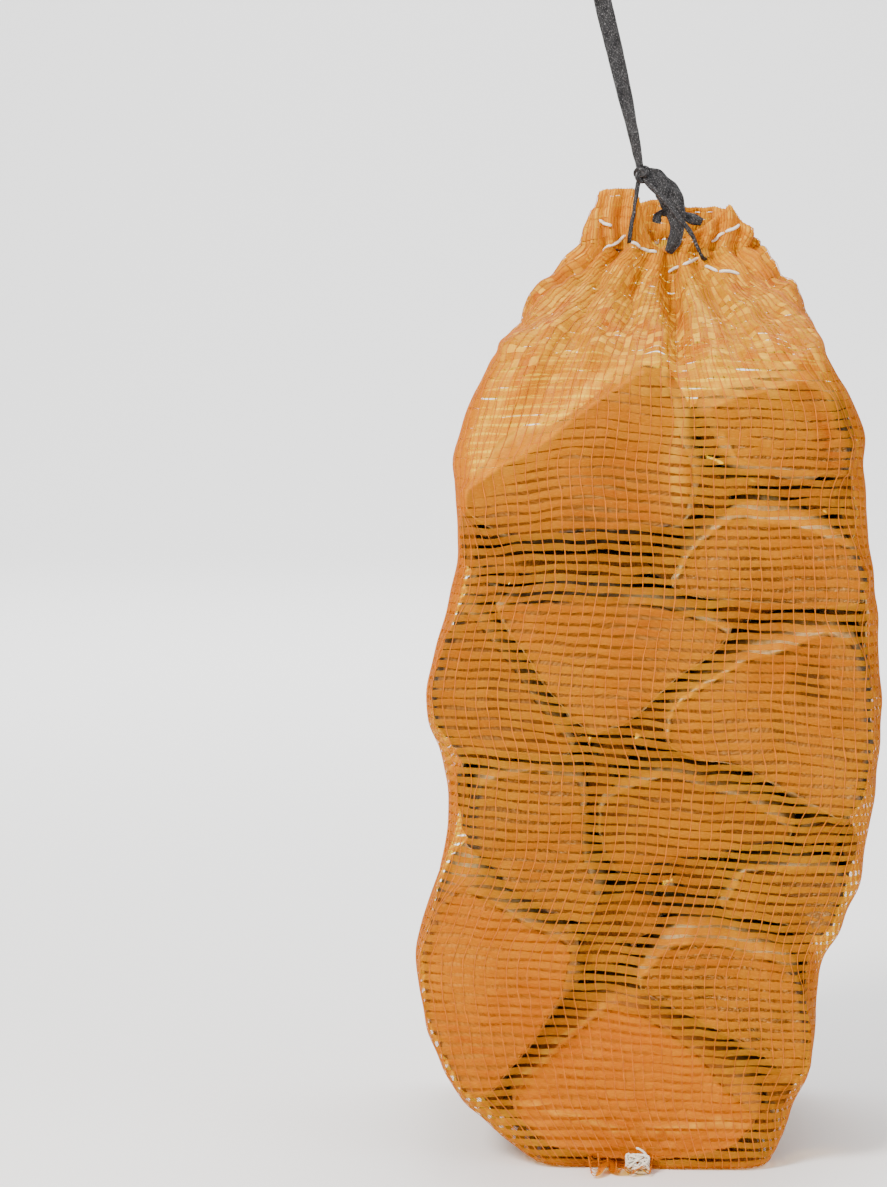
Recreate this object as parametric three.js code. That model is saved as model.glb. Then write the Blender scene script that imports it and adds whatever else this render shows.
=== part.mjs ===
// A net sack of split firewood, drawn shut by a drawstring. Millimetres, +Z up.
// The origin is on the floor under the sack. The logs lie along Y, and the sack's front faces -Y.
import * as THREE from 'three';
import { mergeVertices } from 'three/addons/utils/BufferGeometryUtils.js';

// ---------- driving dimensions ----------
const wall = 1.0;              // net and its folds, taken as one skin
const backStretch = 1.115;     // the logs stand out further behind than in front
const logRounding = 0.22;      // share of each log edge that its corners round off
const logEndBevel = 2.0;       // worn rim round each cut end
const cornerSteps = 3;         // facets round each upright corner of the sack
const sideSteps = [9, 6, 9, 6];  // facets along front, right, back and left
const neckHeight = 495;        // where the drawstring closes the sack
const neckCentre = 12;         // the neck stands a little to the right
const ruffleRows = 3;          // rows of facets from the neck to the rim
const pleatDepth = 1.8;        // gathers at the neck
const pleatCount = 13;
const tapeWidth = 7;           // drawstring tape
const tapeThickness = 2;
const strandDiameter = 2.6;    // drawstring rolled up into a strand
const touchGap = 0.4;          // between pieces that meet
const knotCentre = new THREE.Vector3(-4, -18, 535);
const knotRadii = new THREE.Vector3(5.5, 4.5, 5);

// ---------- materials ----------
const splitWood = { color: 0xc98a4b, roughness: 0.85, metalness: 0 };
const orangeNet = { color: 0xf2951f, roughness: 0.55, metalness: 0 };
const whiteThread = { color: 0xf4ead8, roughness: 0.8, metalness: 0 };
const blackTape = { color: 0x3a3a3e, roughness: 0.45, metalness: 0 };

const bundle = new THREE.Group();

function addPiece(name, geometry, finish) {
  const mesh = new THREE.Mesh(geometry, new THREE.MeshStandardMaterial(finish));
  mesh.name = name;
  bundle.add(mesh);
  return mesh;
}

// ---------- split logs ----------
// corners: the split section seen from the front, [x, z], anticlockwise; front and back: the cut ends in y
const splitLogs = {
  split_log_top_left: {
    corners: [[-98, 352], [-73, 338], [22, 345], [26, 376], [12, 421], [-4, 431], [-57, 392], [-99, 366]],
    front: -109, back: 120,
  },
  split_log_top_right: {
    corners: [[39, 391], [47, 379], [104, 371], [108, 386], [98, 414], [84, 427], [29, 411]],
    front: -111, back: 122,
  },
  split_log_right_shoulder: {
    corners: [[11, 313], [28, 307], [115, 302], [117, 318], [110, 337], [76, 349], [46, 354], [22, 336]],
    front: -106, back: 121,
  },
  split_log_centre_wedge: {
    corners: [[-87, 306], [-29, 225], [47, 289], [36, 298], [-25, 312]],
    front: -110, back: 119,
  },
  split_log_left_side: {
    corners: [[-113, 240], [-102, 223], [-44, 222], [-38, 229], [-91, 299], [-98, 302], [-110, 280],
      [-115, 257]],
    front: -104, back: 122,
  },
  split_log_right_large: {
    corners: [[10, 227], [54, 215], [103, 188], [114, 199], [120, 224], [119, 256], [112, 285], [96, 292],
      [49, 276], [10, 250]],
    front: -111, back: 120,
  },
  split_log_left_round: {
    corners: [[-95, 190], [-92, 172], [-75, 149], [-46, 134], [-28, 132], [-22, 147], [-33, 172], [-33, 213],
      [-60, 217], [-88, 211]],
    front: -107, back: 123,
  },
  split_log_half_round: {
    corners: [[-26, 174], [-14, 156], [40, 171], [76, 175], [80, 184], [49, 205], [7, 216], [-27, 199]],
    front: -103, back: 118,
  },
  split_log_right_small: {
    corners: [[38, 142], [44, 137], [70, 132], [92, 125], [100, 129], [107, 153], [103, 163], [62, 165],
      [52, 162]],
    front: -101, back: 116,
  },
  split_log_lower_right: {
    corners: [[-9, 99], [55, 67], [79, 46], [87, 57], [88, 79], [82, 104], [73, 115], [31, 127], [11, 124]],
    front: -111, back: 122,
  },
  split_log_lower_left: {
    corners: [[-119, 90], [-111, 62], [-99, 41], [-87, 38], [-77, 45], [-61, 65], [-47, 86], [-39, 105],
      [-37, 121], [-74, 141], [-98, 156], [-113, 138], [-121, 112]],
    front: -110, back: 123,
  },
  split_log_bottom_wedge: {
    corners: [[-70, 26], [-52, 10], [-20, 3], [20, 2.5], [48, 11], [61, 24], [60, 33], [44, 46], [31, 64],
      [-15, 94], [-58, 58], [-73, 38]],
    front: -103, back: 115,
  },
};

// The outline runs straight between the corners, and a quadratic curve rounds each corner off.
function splitSection(corners) {
  const points = corners.map(([x, z]) => new THREE.Vector2(x, z));
  const shape = new THREE.Shape();
  points.forEach((corner, i) => {
    const before = points[(i + points.length - 1) % points.length];
    const after = points[(i + 1) % points.length];
    const enter = corner.clone().lerp(before, logRounding);
    const leave = corner.clone().lerp(after, logRounding);
    if (i === 0) shape.moveTo(enter.x, enter.y);
    else shape.lineTo(enter.x, enter.y);
    shape.quadraticCurveTo(corner.x, corner.y, leave.x, leave.y);
  });
  shape.closePath();
  return shape;
}

function splitLog({ corners, front, back }) {
  const geometry = new THREE.ExtrudeGeometry(splitSection(corners), {
    depth: back - front - 2 * logEndBevel,
    curveSegments: 2,
    bevelThickness: logEndBevel,
    bevelSize: logEndBevel,
    bevelOffset: -logEndBevel,
    bevelSegments: 1,
  });
  geometry.rotateX(Math.PI / 2);            // the section's height becomes z, and the length runs along -y
  geometry.translate(0, back - logEndBevel, 0);
  return geometry;
}

for (const [name, log] of Object.entries(splitLogs)) addPiece(name, splitLog(log), splitWood);

// ---------- net sack ----------
// Rings of the filled sack from the floor to the neck: height, left side, right side, half depth,
// radius of the upright corners.
const sackRings = [
  [0, -52, 62, 104, 16], [3, -60, 67, 109, 14], [22, -86, 76, 115, 10], [36, -103, 82, 116, 10],
  [62, -116, 91, 116, 10], [104, -125, 92, 116, 10], [118, -125, 96, 116, 10], [128, -122, 105, 116, 10],
  [148, -115, 112, 116, 10], [170, -107, 118, 116, 10], [218, -107, 124, 116, 10], [234, -116, 125, 116, 10],
  [254, -120, 125, 116, 10], [274, -116, 124, 116, 10], [314, -102, 121, 116, 10], [360, -102, 115, 116, 10],
  [378, -106, 116, 116, 10], [393, -103, 117, 116, 10], [407, -97, 112, 116, 10], [423, -90, 103, 116, 10],
  [436, -83, 96, 113, 12], [448, -76, 91, 90, 14], [462, -65, 84, 58, 18], [476, -55, 75, 32, 18],
  [487, -44, 64, 19, 14], [neckHeight, -33, 58, 14, 12],
];

// One ring of points: four rounded corners, with straight sides divided evenly between them.
function ringPoints(left, right, halfDepth, radius) {
  const centres = [
    [right - radius, -halfDepth + radius], [right - radius, halfDepth - radius],
    [left + radius, halfDepth - radius], [left + radius, -halfDepth + radius],
  ];
  const corners = centres.map(([x, y], corner) => {
    const arc = [];
    for (let step = 0; step <= cornerSteps; step++) {
      const angle = (corner - 1 + step / cornerSteps) * Math.PI / 2;
      arc.push(new THREE.Vector2(x + radius * Math.cos(angle), y + radius * Math.sin(angle)));
    }
    return arc;
  });
  const ring = [];
  corners.forEach((arc, corner) => {
    const next = corners[(corner + 1) % 4][0];
    const steps = sideSteps[(corner + 1) % 4];
    ring.push(...arc);
    for (let step = 1; step < steps; step++) ring.push(arc[cornerSteps].clone().lerp(next, step / steps));
  });
  ring.forEach((point) => { if (point.y > 0) point.y *= backStretch; });
  return ring;
}

const bump = (value, centre, width) => Math.exp(-(((value - centre) / width) ** 2));

// The rim stands up in two lobes at the front with a dip between them, and higher all along the back.
function rimHeight(x, y) {
  const front = 506 + 20 * bump(x, -14, 12) + 12 * bump(x, 43, 10) - 12 * bump(x, 9, 8);
  const back = 520 + 2 * Math.sin(x / 7);
  const share = THREE.MathUtils.smoothstep(y, -7, 7);
  return front * (1 - share) + back * share;
}

// The front of the neck dips under the gap between the two lobes.
const neckDip = (x, y, z) => {
  if (y >= 0) return 0;
  return 9 * bump(x, 9, 12) * THREE.MathUtils.smoothstep(z, 470, neckHeight);
};

function sackRows(inset) {
  const rows = sackRings.map(([z, left, right, halfDepth, radius], row) => {
    const lift = row === 0 ? inset : 0;
    const ring = ringPoints(left + inset, right - inset, halfDepth - inset, radius - inset);
    const gather = THREE.MathUtils.smoothstep(z, 462, neckHeight) * pleatDepth;
    return ring.map((point, column) => {
      const pleat = gather * Math.cos(2 * Math.PI * pleatCount * column / ring.length);
      const x = neckCentre + (point.x - neckCentre) * (1 + pleat / 40);
      const y = point.y * (1 + pleat / 14);
      return new THREE.Vector3(x, y, z + lift - neckDip(x, y, z));
    });
  });
  const neck = rows[rows.length - 1];
  for (let row = 1; row <= ruffleRows; row++) {
    const share = row / ruffleRows;
    const lean = 1 - 0.1 * share;
    rows.push(neck.map((point) => {
      const height = THREE.MathUtils.lerp(point.z, rimHeight(point.x, point.y), share);
      return new THREE.Vector3(neckCentre + (point.x - neckCentre) * lean, point.y * lean, height);
    }));
  }
  return rows;
}

// The drawstring comes out through two small gaps in the front of the hem.
const eyeletRow = sackRings.length - 1;
const eyeletPlaces = [-9.5, 27.3];

function sackGeometry() {
  const outer = sackRows(0);
  const inner = sackRows(wall);
  const columns = outer[0].length;
  const rows = outer.length;
  const eyelets = eyeletPlaces.map((place) => {
    const misses = outer[eyeletRow].map((point, column, ring) => {
      const middle = point.clone().add(ring[(column + 1) % columns]).multiplyScalar(0.5);
      return middle.y < 0 ? Math.abs(middle.x - place) : Infinity;
    });
    return misses.indexOf(Math.min(...misses));
  });
  const positions = [];
  const triangle = (...points) => points.forEach((point) => positions.push(point.x, point.y, point.z));
  const quad = (a, b, c, d) => { triangle(a, b, c); triangle(a, c, d); };
  const isEyelet = (row, column) => row === eyeletRow && eyelets.includes(column);
  for (let row = 0; row < rows - 1; row++) {
    for (let column = 0; column < columns; column++) {
      const next = (column + 1) % columns;
      const outside = [outer[row][column], outer[row][next], outer[row + 1][next], outer[row + 1][column]];
      const inside = [inner[row][column], inner[row][next], inner[row + 1][next], inner[row + 1][column]];
      if (isEyelet(row, column)) {
        for (let side = 0; side < 4; side++) {
          const after = (side + 1) % 4;
          quad(outside[side], outside[after], inside[after], inside[side]);
        }
      } else {
        quad(...outside);
        quad(...inside.reverse());
      }
    }
  }
  const middle = (row) => row
    .reduce((sum, point) => sum.add(point), new THREE.Vector3())
    .divideScalar(columns);
  const underside = middle(outer[0]);
  const inside = middle(inner[0]);
  for (let column = 0; column < columns; column++) {
    const next = (column + 1) % columns;
    quad(inner[rows - 1][column], outer[rows - 1][column], outer[rows - 1][next], inner[rows - 1][next]);
    triangle(outer[0][next], outer[0][column], underside);
    triangle(inner[0][column], inner[0][next], inside);
  }
  const geometry = new THREE.BufferGeometry();
  geometry.setAttribute('position', new THREE.Float32BufferAttribute(positions, 3));
  return mergeVertices(geometry, 1e-4);
}

addPiece('net_sack', sackGeometry(), orangeNet);

// ---------- threads and tapes ----------
// A tube with an elliptical section of the given width and thickness, carried along a smooth path.
function tube(points, width, thickness, steps, sides = 8, closed = false) {
  const section = new THREE.Shape();
  for (let side = 0; side < sides; side++) {
    const angle = 2 * Math.PI * side / sides;
    const x = thickness / 2 * Math.cos(angle);
    const y = width / 2 * Math.sin(angle);
    if (side === 0) section.moveTo(x, y);
    else section.lineTo(x, y);
  }
  section.closePath();
  const vectors = points.map((point) => new THREE.Vector3(...point));
  const path = new THREE.CatmullRomCurve3(vectors, closed, 'centripetal');
  return new THREE.ExtrudeGeometry(section, { steps, extrudePath: path });
}

// A squashed ball with lumps where the turns of the knot cross.
function knot(centre, radii) {
  const ball = new THREE.IcosahedronGeometry(1, 2);
  const geometry = mergeVertices(ball.deleteAttribute('normal').deleteAttribute('uv'));
  const position = geometry.attributes.position;
  for (let i = 0; i < position.count; i++) {
    const point = new THREE.Vector3().fromBufferAttribute(position, i);
    point.multiplyScalar(1 - 0.12 * (Math.sin(5 * point.x + 2 * point.z) * Math.cos(4 * point.y)) ** 2);
    point.multiply(radii).add(centre);
    position.setXYZ(i, point.x, point.y, point.z);
  }
  return geometry;
}

const knotFoot = knotCentre.z - knotRadii.z - touchGap;
const knotTop = knotCentre.z + knotRadii.z + touchGap;

// Down from the knot, in through the left eyelet, round inside the hem, out of the right eyelet and up again.
const drawstringRoute = [
  [-6, -18, knotFoot], [-7.5, -19.5, 519], [-9, -19.8, 508], [-9.3, -18, 501.5], [-9.3, -13.4, 499.4],
  [-10.5, -9, 499], [-15, -6.5, 499], [-20.5, -3, 499], [-20, 2.5, 499], [-14, 6, 499], [2, 6.5, 499],
  [24, 6.5, 499], [38, 5.5, 498], [43.5, 1.5, 498], [41, -3.5, 497.5], [33, -6.5, 497], [28.4, -9.5, 496.3],
  [27.2, -14, 496.3], [26.5, -18, 497.5], [23.5, -20.4, 503], [12, -20.5, 518], [-1, -18, knotFoot],
];
addPiece('drawstring_loop', tube(drawstringRoute, strandDiameter, strandDiameter, 44), blackTape);
addPiece('drawstring_knot', knot(knotCentre, knotRadii), blackTape);

const shortEndRoute = [
  [knotCentre.x + knotRadii.x + 0.8, -17, 537], [9, -16.2, 536], [14, -16, 530], [18.5, -16, 519],
  [19.5, -16, 509], [17, -16.6, 500], [11.5, -17.5, 492],
];
addPiece('drawstring_short_end', tube(shortEndRoute, 6, tapeThickness, 16), blackTape);

// The tail is held taut, up and a little to the left.
const tailTop = [-29.5, -18, 645];
const tailRoute = [
  [-5.3, -18, knotTop], [-8.5, -18, 556], [-13, -18, 576], [-18.6, -18, 600], [-24, -18, 622], tailTop,
];
addPiece('drawstring_tail', tube(tailRoute, tapeWidth, tapeThickness, 10), blackTape);
const endKnotRadii = new THREE.Vector3(6.5, 5, 6);
addPiece('drawstring_end_knot', knot(
  new THREE.Vector3(tailTop[0] - 1.5, tailTop[1], tailTop[2] + endKnotRadii.z + touchGap), endKnotRadii,
), blackTape);

// The hem's thread runs round the neck just outside the net, up and down across the gathers.
const threadThickness = 1.6;
const threadOutset = threadThickness / 2 + 2.5 * wall;

function hemRoute() {
  const rows = sackRows(-threadOutset);
  return rows[eyeletRow].map((top, column) => {
    const share = column % 2 === 0 ? 0.3 : 0.75;
    return rows[eyeletRow - 1][column].clone().lerp(top, share).toArray();
  });
}
addPiece('hem_stitching', tube(hemRoute(), threadThickness, threadThickness, 46, 5, true), whiteThread);

// ---------- foot of the sack ----------
// The gathered seam allowance lies on the floor in front of the base, in a frill.
function frillGeometry() {
  const frill = new THREE.Shape();
  frill.moveTo(-27, 0);
  frill.lineTo(-31, -13);
  frill.quadraticCurveTo(-24, -10, -22, -17);
  frill.quadraticCurveTo(-10, -21, 1, -17);
  frill.lineTo(5, 0);
  frill.closePath();
  const geometry = new THREE.ExtrudeGeometry(frill, { depth: 3, bevelEnabled: false, curveSegments: 4 });
  geometry.translate(0, -110, 0.3);
  return geometry;
}
addPiece('bottom_seam_frill', frillGeometry(), orangeNet);
const tuftCentre = new THREE.Vector3(-4, -118, 6.9);
const tuftRadii = new THREE.Vector3(7, 3, 3.2);
addPiece('bottom_seam_thread', knot(tuftCentre, tuftRadii), whiteThread);

export default bundle;
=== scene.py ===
import math
import bpy
import numpy as np
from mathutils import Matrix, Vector


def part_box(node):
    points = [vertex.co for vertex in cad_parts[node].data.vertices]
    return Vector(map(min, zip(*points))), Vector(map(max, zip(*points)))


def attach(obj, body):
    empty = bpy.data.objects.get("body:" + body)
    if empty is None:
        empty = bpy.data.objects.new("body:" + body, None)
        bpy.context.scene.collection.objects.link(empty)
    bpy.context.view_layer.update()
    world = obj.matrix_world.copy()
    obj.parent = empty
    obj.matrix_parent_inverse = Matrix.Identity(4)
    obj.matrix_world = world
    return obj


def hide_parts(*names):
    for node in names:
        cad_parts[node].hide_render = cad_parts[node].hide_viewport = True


# A net sack of split firewood, standing on a pale floor. Metres, front towards -Y.
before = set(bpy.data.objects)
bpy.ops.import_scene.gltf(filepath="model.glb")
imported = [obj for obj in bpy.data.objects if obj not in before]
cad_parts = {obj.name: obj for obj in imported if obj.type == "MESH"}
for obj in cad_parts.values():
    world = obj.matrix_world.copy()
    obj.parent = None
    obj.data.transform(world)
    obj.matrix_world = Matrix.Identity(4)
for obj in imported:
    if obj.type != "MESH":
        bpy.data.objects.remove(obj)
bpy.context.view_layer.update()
sackFront = float(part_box("net_sack")[0][1])
mm = 0.001
print("stage 1: frame loaded")

studio = {
    "distance": 2.1,          # from the camera to the front of the sack
    "elevation": 4.5,         # degrees above level
    "frameHeight": 0.629,     # what the picture takes in at the front of the sack
    "aim": (-0.108, 0.311),   # across and up, the middle of the picture
    "worldTone": 0.85,
    # each light: power, size, place, what it points at, colour
    "lights": {
        "keyLight": (118, 0.8, (-1.15, -1.7, 1.75), (0.0, 0.0, 0.27), (1.0, 0.96, 0.9)),
        "fillLight": (20, 1.6, (1.7, -1.5, 0.9), (0.0, 0.0, 0.27), (1, 1, 1)),
        "topLight": (26, 1.2, (0.1, 0.5, 2.0), (0.0, 0.0, 0.27), (1, 1, 1)),
        "backdropLight": (330, 3.0, (-0.5, 2.4, 3.4), (-0.6, 6.0, 0.4), (1, 1, 1)),
    },
    "floorTone": 0.9,
    "floorStart": -12.0,      # nearest edge of the floor
    "floorDepth": 4.5,        # where it starts to turn up
    "floorRadius": 2.5,
    "floorHeight": 7.0,
    "floorHalf": 12.0,
}


# Puts a camera or a light at its place, with its own -Z along the line to the target.
def aimed(obj, place, target):
    obj.location = place
    obj.rotation_euler = (Vector(target) - Vector(place)).to_track_quat("-Z", "Y").to_euler()
    bpy.context.scene.collection.objects.link(obj)
    return obj


# The lens is as long as the sensor times the distance over what the picture takes in.
def makeCamera():
    lens = bpy.data.cameras.new("camera")
    lens.lens = lens.sensor_width / 2 * studio["distance"] / (studio["frameHeight"] / 2)
    lens.clip_end = 20
    tilt = math.radians(studio["elevation"])
    across, up = studio["aim"]
    place = (0.0, sackFront - studio["distance"] * math.cos(tilt), up + studio["distance"] * math.sin(tilt))
    bpy.context.scene.camera = aimed(bpy.data.objects.new("camera", lens), place, (across, sackFront, up))


# A round lamp that points at its target.
def areaLight(name, power, size, place, target, tint):
    lamp = bpy.data.lights.new(name, "AREA")
    lamp.energy = power
    lamp.shape = "DISK"
    lamp.size = size
    lamp.color = tint
    aimed(bpy.data.objects.new(name, lamp), place, target)


makeCamera()
for name, light in studio["lights"].items():
    areaLight(name, *light)
world = bpy.data.worlds.new("studio")
world.use_nodes = True
world.node_tree.nodes["Background"].inputs["Color"].default_value = (1, 1, 1, 1)
world.node_tree.nodes["Background"].inputs["Strength"].default_value = studio["worldTone"]
bpy.context.scene.world = world


# Corner numbers of the quads of a grid of points, row by row; wrap joins the last column to the first.
def gridQuads(rows, columns, wrap=False, first=0):
    row = np.arange(rows - 1)[:, None]
    column = np.arange(columns if wrap else columns - 1)[None, :]
    after = (column + 1) % columns
    a, b = row * columns + column, row * columns + after
    c, d = (row + 1) * columns + after, (row + 1) * columns + column
    return np.stack([a, b, c, d], axis=-1).reshape(-1, 4) + first


# One object from whole arrays. faces is a list of (n, 3) or (n, 4) arrays; values are kept at the points.
def makeMesh(name, points, faces, material, uv=None, values=None):
    mesh = bpy.data.meshes.new(name)
    mesh.vertices.add(len(points))
    mesh.vertices.foreach_set("co", np.ascontiguousarray(points, np.float32).ravel())
    corners = np.concatenate([f.ravel() for f in faces]).astype(np.int32)
    sizes = np.concatenate([np.full(len(f), f.shape[1], np.int32) for f in faces])
    mesh.loops.add(len(corners))
    mesh.loops.foreach_set("vertex_index", corners)
    mesh.polygons.add(len(sizes))
    mesh.polygons.foreach_set("loop_start", np.concatenate([[0], np.cumsum(sizes)[:-1]]).astype(np.int32))
    mesh.polygons.foreach_set("use_smooth", np.ones(len(sizes), bool))
    mesh.update(calc_edges=True)
    if uv is not None:
        layer = mesh.uv_layers.new(name="weave")
        layer.data.foreach_set("uv", np.ascontiguousarray(uv[corners], np.float32).ravel())
    for key, numbers in (values or {}).items():
        kind, slot = ("FLOAT_VECTOR", "vector") if numbers.ndim == 2 else ("FLOAT", "value")
        mesh.attributes.new(key, kind, "POINT").data.foreach_set(slot, numbers.astype(np.float32).ravel())
    mesh.materials.append(material)
    obj = bpy.data.objects.new(name, mesh)
    bpy.context.scene.collection.objects.link(obj)
    return obj


# Smooth noise about 0: the sum of sine waves that cross the plane (a, b) in random directions, over the
# root of their number.
def ripple(a, b, scale, seed, waves=9):
    draw = np.random.default_rng(seed)
    turn, phase = draw.uniform(0, 2 * np.pi, (2, waves))
    pace = draw.uniform(0.6, 1.7, waves) * 2 * np.pi / scale
    total = sum(np.sin((a * math.cos(t) + b * math.sin(t)) * k + p) for t, k, p in zip(turn, pace, phase))
    return total / math.sqrt(waves)


# 0 below low, 1 above high, and three squares less two cubes of the share between them.
def smoothStep(value, low, high):
    share = np.clip((value - low) / (high - low), 0, 1)
    return share * share * (3 - 2 * share)


# Each vector over its length.
def unit(vectors):
    return vectors / np.maximum(np.linalg.norm(vectors, axis=-1, keepdims=True), 1e-12)


# The corner points of a CAD body.
def cadPoints(node):
    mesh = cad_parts[node].data
    points = np.empty(len(mesh.vertices) * 3)
    mesh.vertices.foreach_get("co", points)
    return points.reshape(-1, 3)


# Short words for adding nodes and joining them.
class NodeBoard:
    def __init__(self, tree):
        self.tree = tree

    def add(self, kind, **settings):
        node = self.tree.nodes.new("ShaderNode" + kind)
        for key, value in settings.items():
            setattr(node, key, value)
        return node

    def put(self, source, target):
        if isinstance(source, bpy.types.NodeSocket):
            self.tree.links.new(source, target)
        else:
            target.default_value = source

    def maths(self, operation, first, second=0.0, third=0.0):
        node = self.add("Math", operation=operation)
        for socket, source in zip(node.inputs, (first, second, third)):
            self.put(source, socket)
        return node.outputs[0]

    def times(self, first, second):
        return self.maths("MULTIPLY", first, second)

    def timesPlus(self, first, second, third):
        return self.maths("MULTIPLY_ADD", first, second, third)

    def attribute(self, name):
        return self.add("Attribute", attribute_name=name).outputs["Fac"]

    def weave(self):
        return self.add("UVMap", uv_map="weave").outputs["UV"]

    def place(self):
        return self.add("TexCoord").outputs["Object"]

    def axes(self, vector):
        node = self.add("SeparateXYZ")
        self.put(vector, node.inputs[0])
        return node.outputs

    def noise(self, vector, scale, detail=3.0, roughness=0.55, seed=0.0):
        node = self.add("TexNoise", noise_dimensions="4D")
        self.put(vector, node.inputs["Vector"])
        self.put(seed, node.inputs["W"])
        node.inputs["Scale"].default_value = scale
        node.inputs["Detail"].default_value = detail
        node.inputs["Roughness"].default_value = roughness
        return node.outputs["Fac"]

    def stretch(self, vector, scale):
        node = self.add("Mapping")
        self.put(vector, node.inputs["Vector"])
        node.inputs["Scale"].default_value = scale
        return node.outputs[0]

    def blend(self, share, first, second):
        node = self.add("Mix", data_type="RGBA")
        for name, source in (("Factor", share), ("A", first), ("B", second)):
            socket = [s for s in node.inputs if s.name == name and s.enabled][0]
            self.put(source, socket)
        return [s for s in node.outputs if s.enabled][0]

    def ramp(self, value, low, high):
        node = self.add("MapRange", interpolation_type="SMOOTHSTEP")
        self.put(value, node.inputs["Value"])
        node.inputs["From Min"].default_value = low
        node.inputs["From Max"].default_value = high
        return node.outputs[0]

    def bump(self, height, strength, distance):
        node = self.add("Bump")
        self.put(height, node.inputs["Height"])
        node.inputs["Strength"].default_value = strength
        node.inputs["Distance"].default_value = distance
        return node.outputs[0]


# A material with an empty board of nodes.
def newMaterial(name):
    material = bpy.data.materials.new(name)
    material.use_nodes = True
    tree = material.node_tree
    tree.nodes.clear()
    return material, NodeBoard(tree)


# A principled shader with its colour, roughness and normal joined up; plain values by their names.
def principled(board, color, roughness, normal=None, **plain):
    shader = board.add("BsdfPrincipled")
    board.put(color, shader.inputs["Base Color"])
    board.put(roughness, shader.inputs["Roughness"])
    if normal is not None:
        board.put(normal, shader.inputs["Normal"])
    for key, value in plain.items():
        shader.inputs[key].default_value = value
    return shader.outputs[0]


# Ends a material: joins its surface to the output.
def output(board, surface):
    board.put(surface, board.add("OutputMaterial").inputs["Surface"])


# A profile that runs level and then turns up in a quarter circle, carried along X.
def makeFloor():
    depth, radius, half = studio["floorDepth"], studio["floorRadius"], studio["floorHalf"]
    turn = np.linspace(0, np.pi / 2, 24)
    alongY = np.concatenate([[studio["floorStart"]], depth + radius * np.sin(turn), [depth + radius]])
    upZ = np.concatenate([[0.0], radius * (1 - np.cos(turn)), [studio["floorHeight"]]])
    acrossX = np.array([-half, half])
    points = np.stack(np.broadcast_arrays(acrossX[:, None], alongY, upZ), axis=-1).reshape(-1, 3)
    material, board = newMaterial("paleFloor")
    tone = studio["floorTone"]
    output(board, principled(board, (tone, tone, tone, 1), 0.6))
    floor = makeMesh("floor", points, [gridQuads(2, len(alongY))], material)


makeFloor()


# Points evenly spaced along a line of points, how far along each one lies, and the line's whole length.
def evenly(line, count, closed=False):
    walked = np.concatenate([[0], np.cumsum(np.linalg.norm(np.diff(line, axis=0), axis=1))])
    stops = np.linspace(0, walked[-1], count, endpoint=not closed)
    points = np.stack([np.interp(stops, walked, line[:, k]) for k in range(line.shape[1])], axis=-1)
    return points, stops, walked[-1]


# A smooth line through the given points (Catmull-Rom), as count points evenly spaced along it, and its
# length.
def smoothRoute(knots, count):
    knots = np.asarray(knots, float)
    padded = np.vstack([2 * knots[0] - knots[1], knots, 2 * knots[-1] - knots[-2]])
    t = np.linspace(0, len(knots) - 1, count * 8)
    i = np.minimum(t.astype(int), len(knots) - 2)
    f = (t - i)[:, None]
    a, b, c, d = (padded[i + k] for k in range(4))
    fine = 0.5 * (2 * b + (c - a) * f + (2 * a - 5 * b + 4 * c - d) * f ** 2
                  + (3 * b - a - 3 * c + d) * f ** 3)
    points, _, length = evenly(fine, count)
    return points, length


# Two directions square to a route at each of its points, started from the side nearest to `facing` and
# carried along without spinning, then turned by `turn` radians.
def routeFrame(route, facing, turn):
    tangent = unit(np.gradient(route, axis=0))
    out = np.empty_like(tangent)
    last = np.array(facing, float)
    for k, along in enumerate(tangent):
        last = last - along * (last @ along)
        last /= np.linalg.norm(last)
        out[k] = last
    side = np.cross(tangent, out)
    c, s = np.cos(turn)[:, None], np.sin(turn)[:, None]
    return side * c + out * s, out * c - side * s


# A flat tape carried along a route: an oval section of that width and thickness, creased lengthwise and
# bowed, with rounded ends. Numbers may change along it.
def makeTape(name, route, width, thickness, turn, crease, bow, seed):
    count, around = len(route), 28
    share = np.linspace(0, 1, count)
    given = [np.atleast_1d(v) for v in (width, thickness, turn, bow)]
    width, thickness, turn, bow = (np.interp(share, np.linspace(0, 1, len(v)), v) for v in given)
    side, out = routeFrame(route, (0, -1, 0), turn)
    angle = np.arange(around) / around * 2 * np.pi
    across = np.sign(np.cos(angle)) * np.abs(np.cos(angle)) ** 0.8 / 2
    through = np.sin(angle) / 2
    ends = np.clip(np.sqrt(1 - (1 - np.clip(np.minimum(share, 1 - share) * 60, 0, 1)) ** 2), 0.05, 1)
    walked = share * np.linalg.norm(np.diff(route, axis=0), axis=1).sum()
    over = across[None, :] * width[:, None]
    folds = ripple(over, walked[:, None] * 0.12, 0.0030, seed)
    folds += 0.7 * ripple(over, walked[:, None] * 0.5, 0.0052, seed + 1)
    rise = folds * crease * width[:, None] * 0.5
    rise += bow[:, None] * (0.25 - across[None, :] ** 2) * width[:, None]
    wide = across[None, :] * (width * ends)[:, None]
    high = through[None, :] * (thickness * ends)[:, None] + rise * ends[:, None]
    points = route[:, None] + side[:, None] * wide[..., None] + out[:, None] * high[..., None]
    faces = [gridQuads(count, around, True)]
    rim = np.arange(around)
    top = (count - 1) * around
    faces += [np.stack([np.roll(rim, -1), rim, np.full(around, count * around)], axis=-1),
              np.stack([top + rim, top + np.roll(rim, -1), np.full(around, count * around + 1)], axis=-1)]
    points = np.vstack([points.reshape(-1, 3), points[0].mean(0), points[-1].mean(0)])
    uv = np.stack(np.broadcast_arrays(over * 1000, walked[:, None] * 1000), axis=-1)
    uv = np.vstack([uv.reshape(-1, 2), [0, 0], [0, walked[-1] * 1000]])
    return pointedOut(makeMesh(name, points, faces, blackTape, uv))


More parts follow.
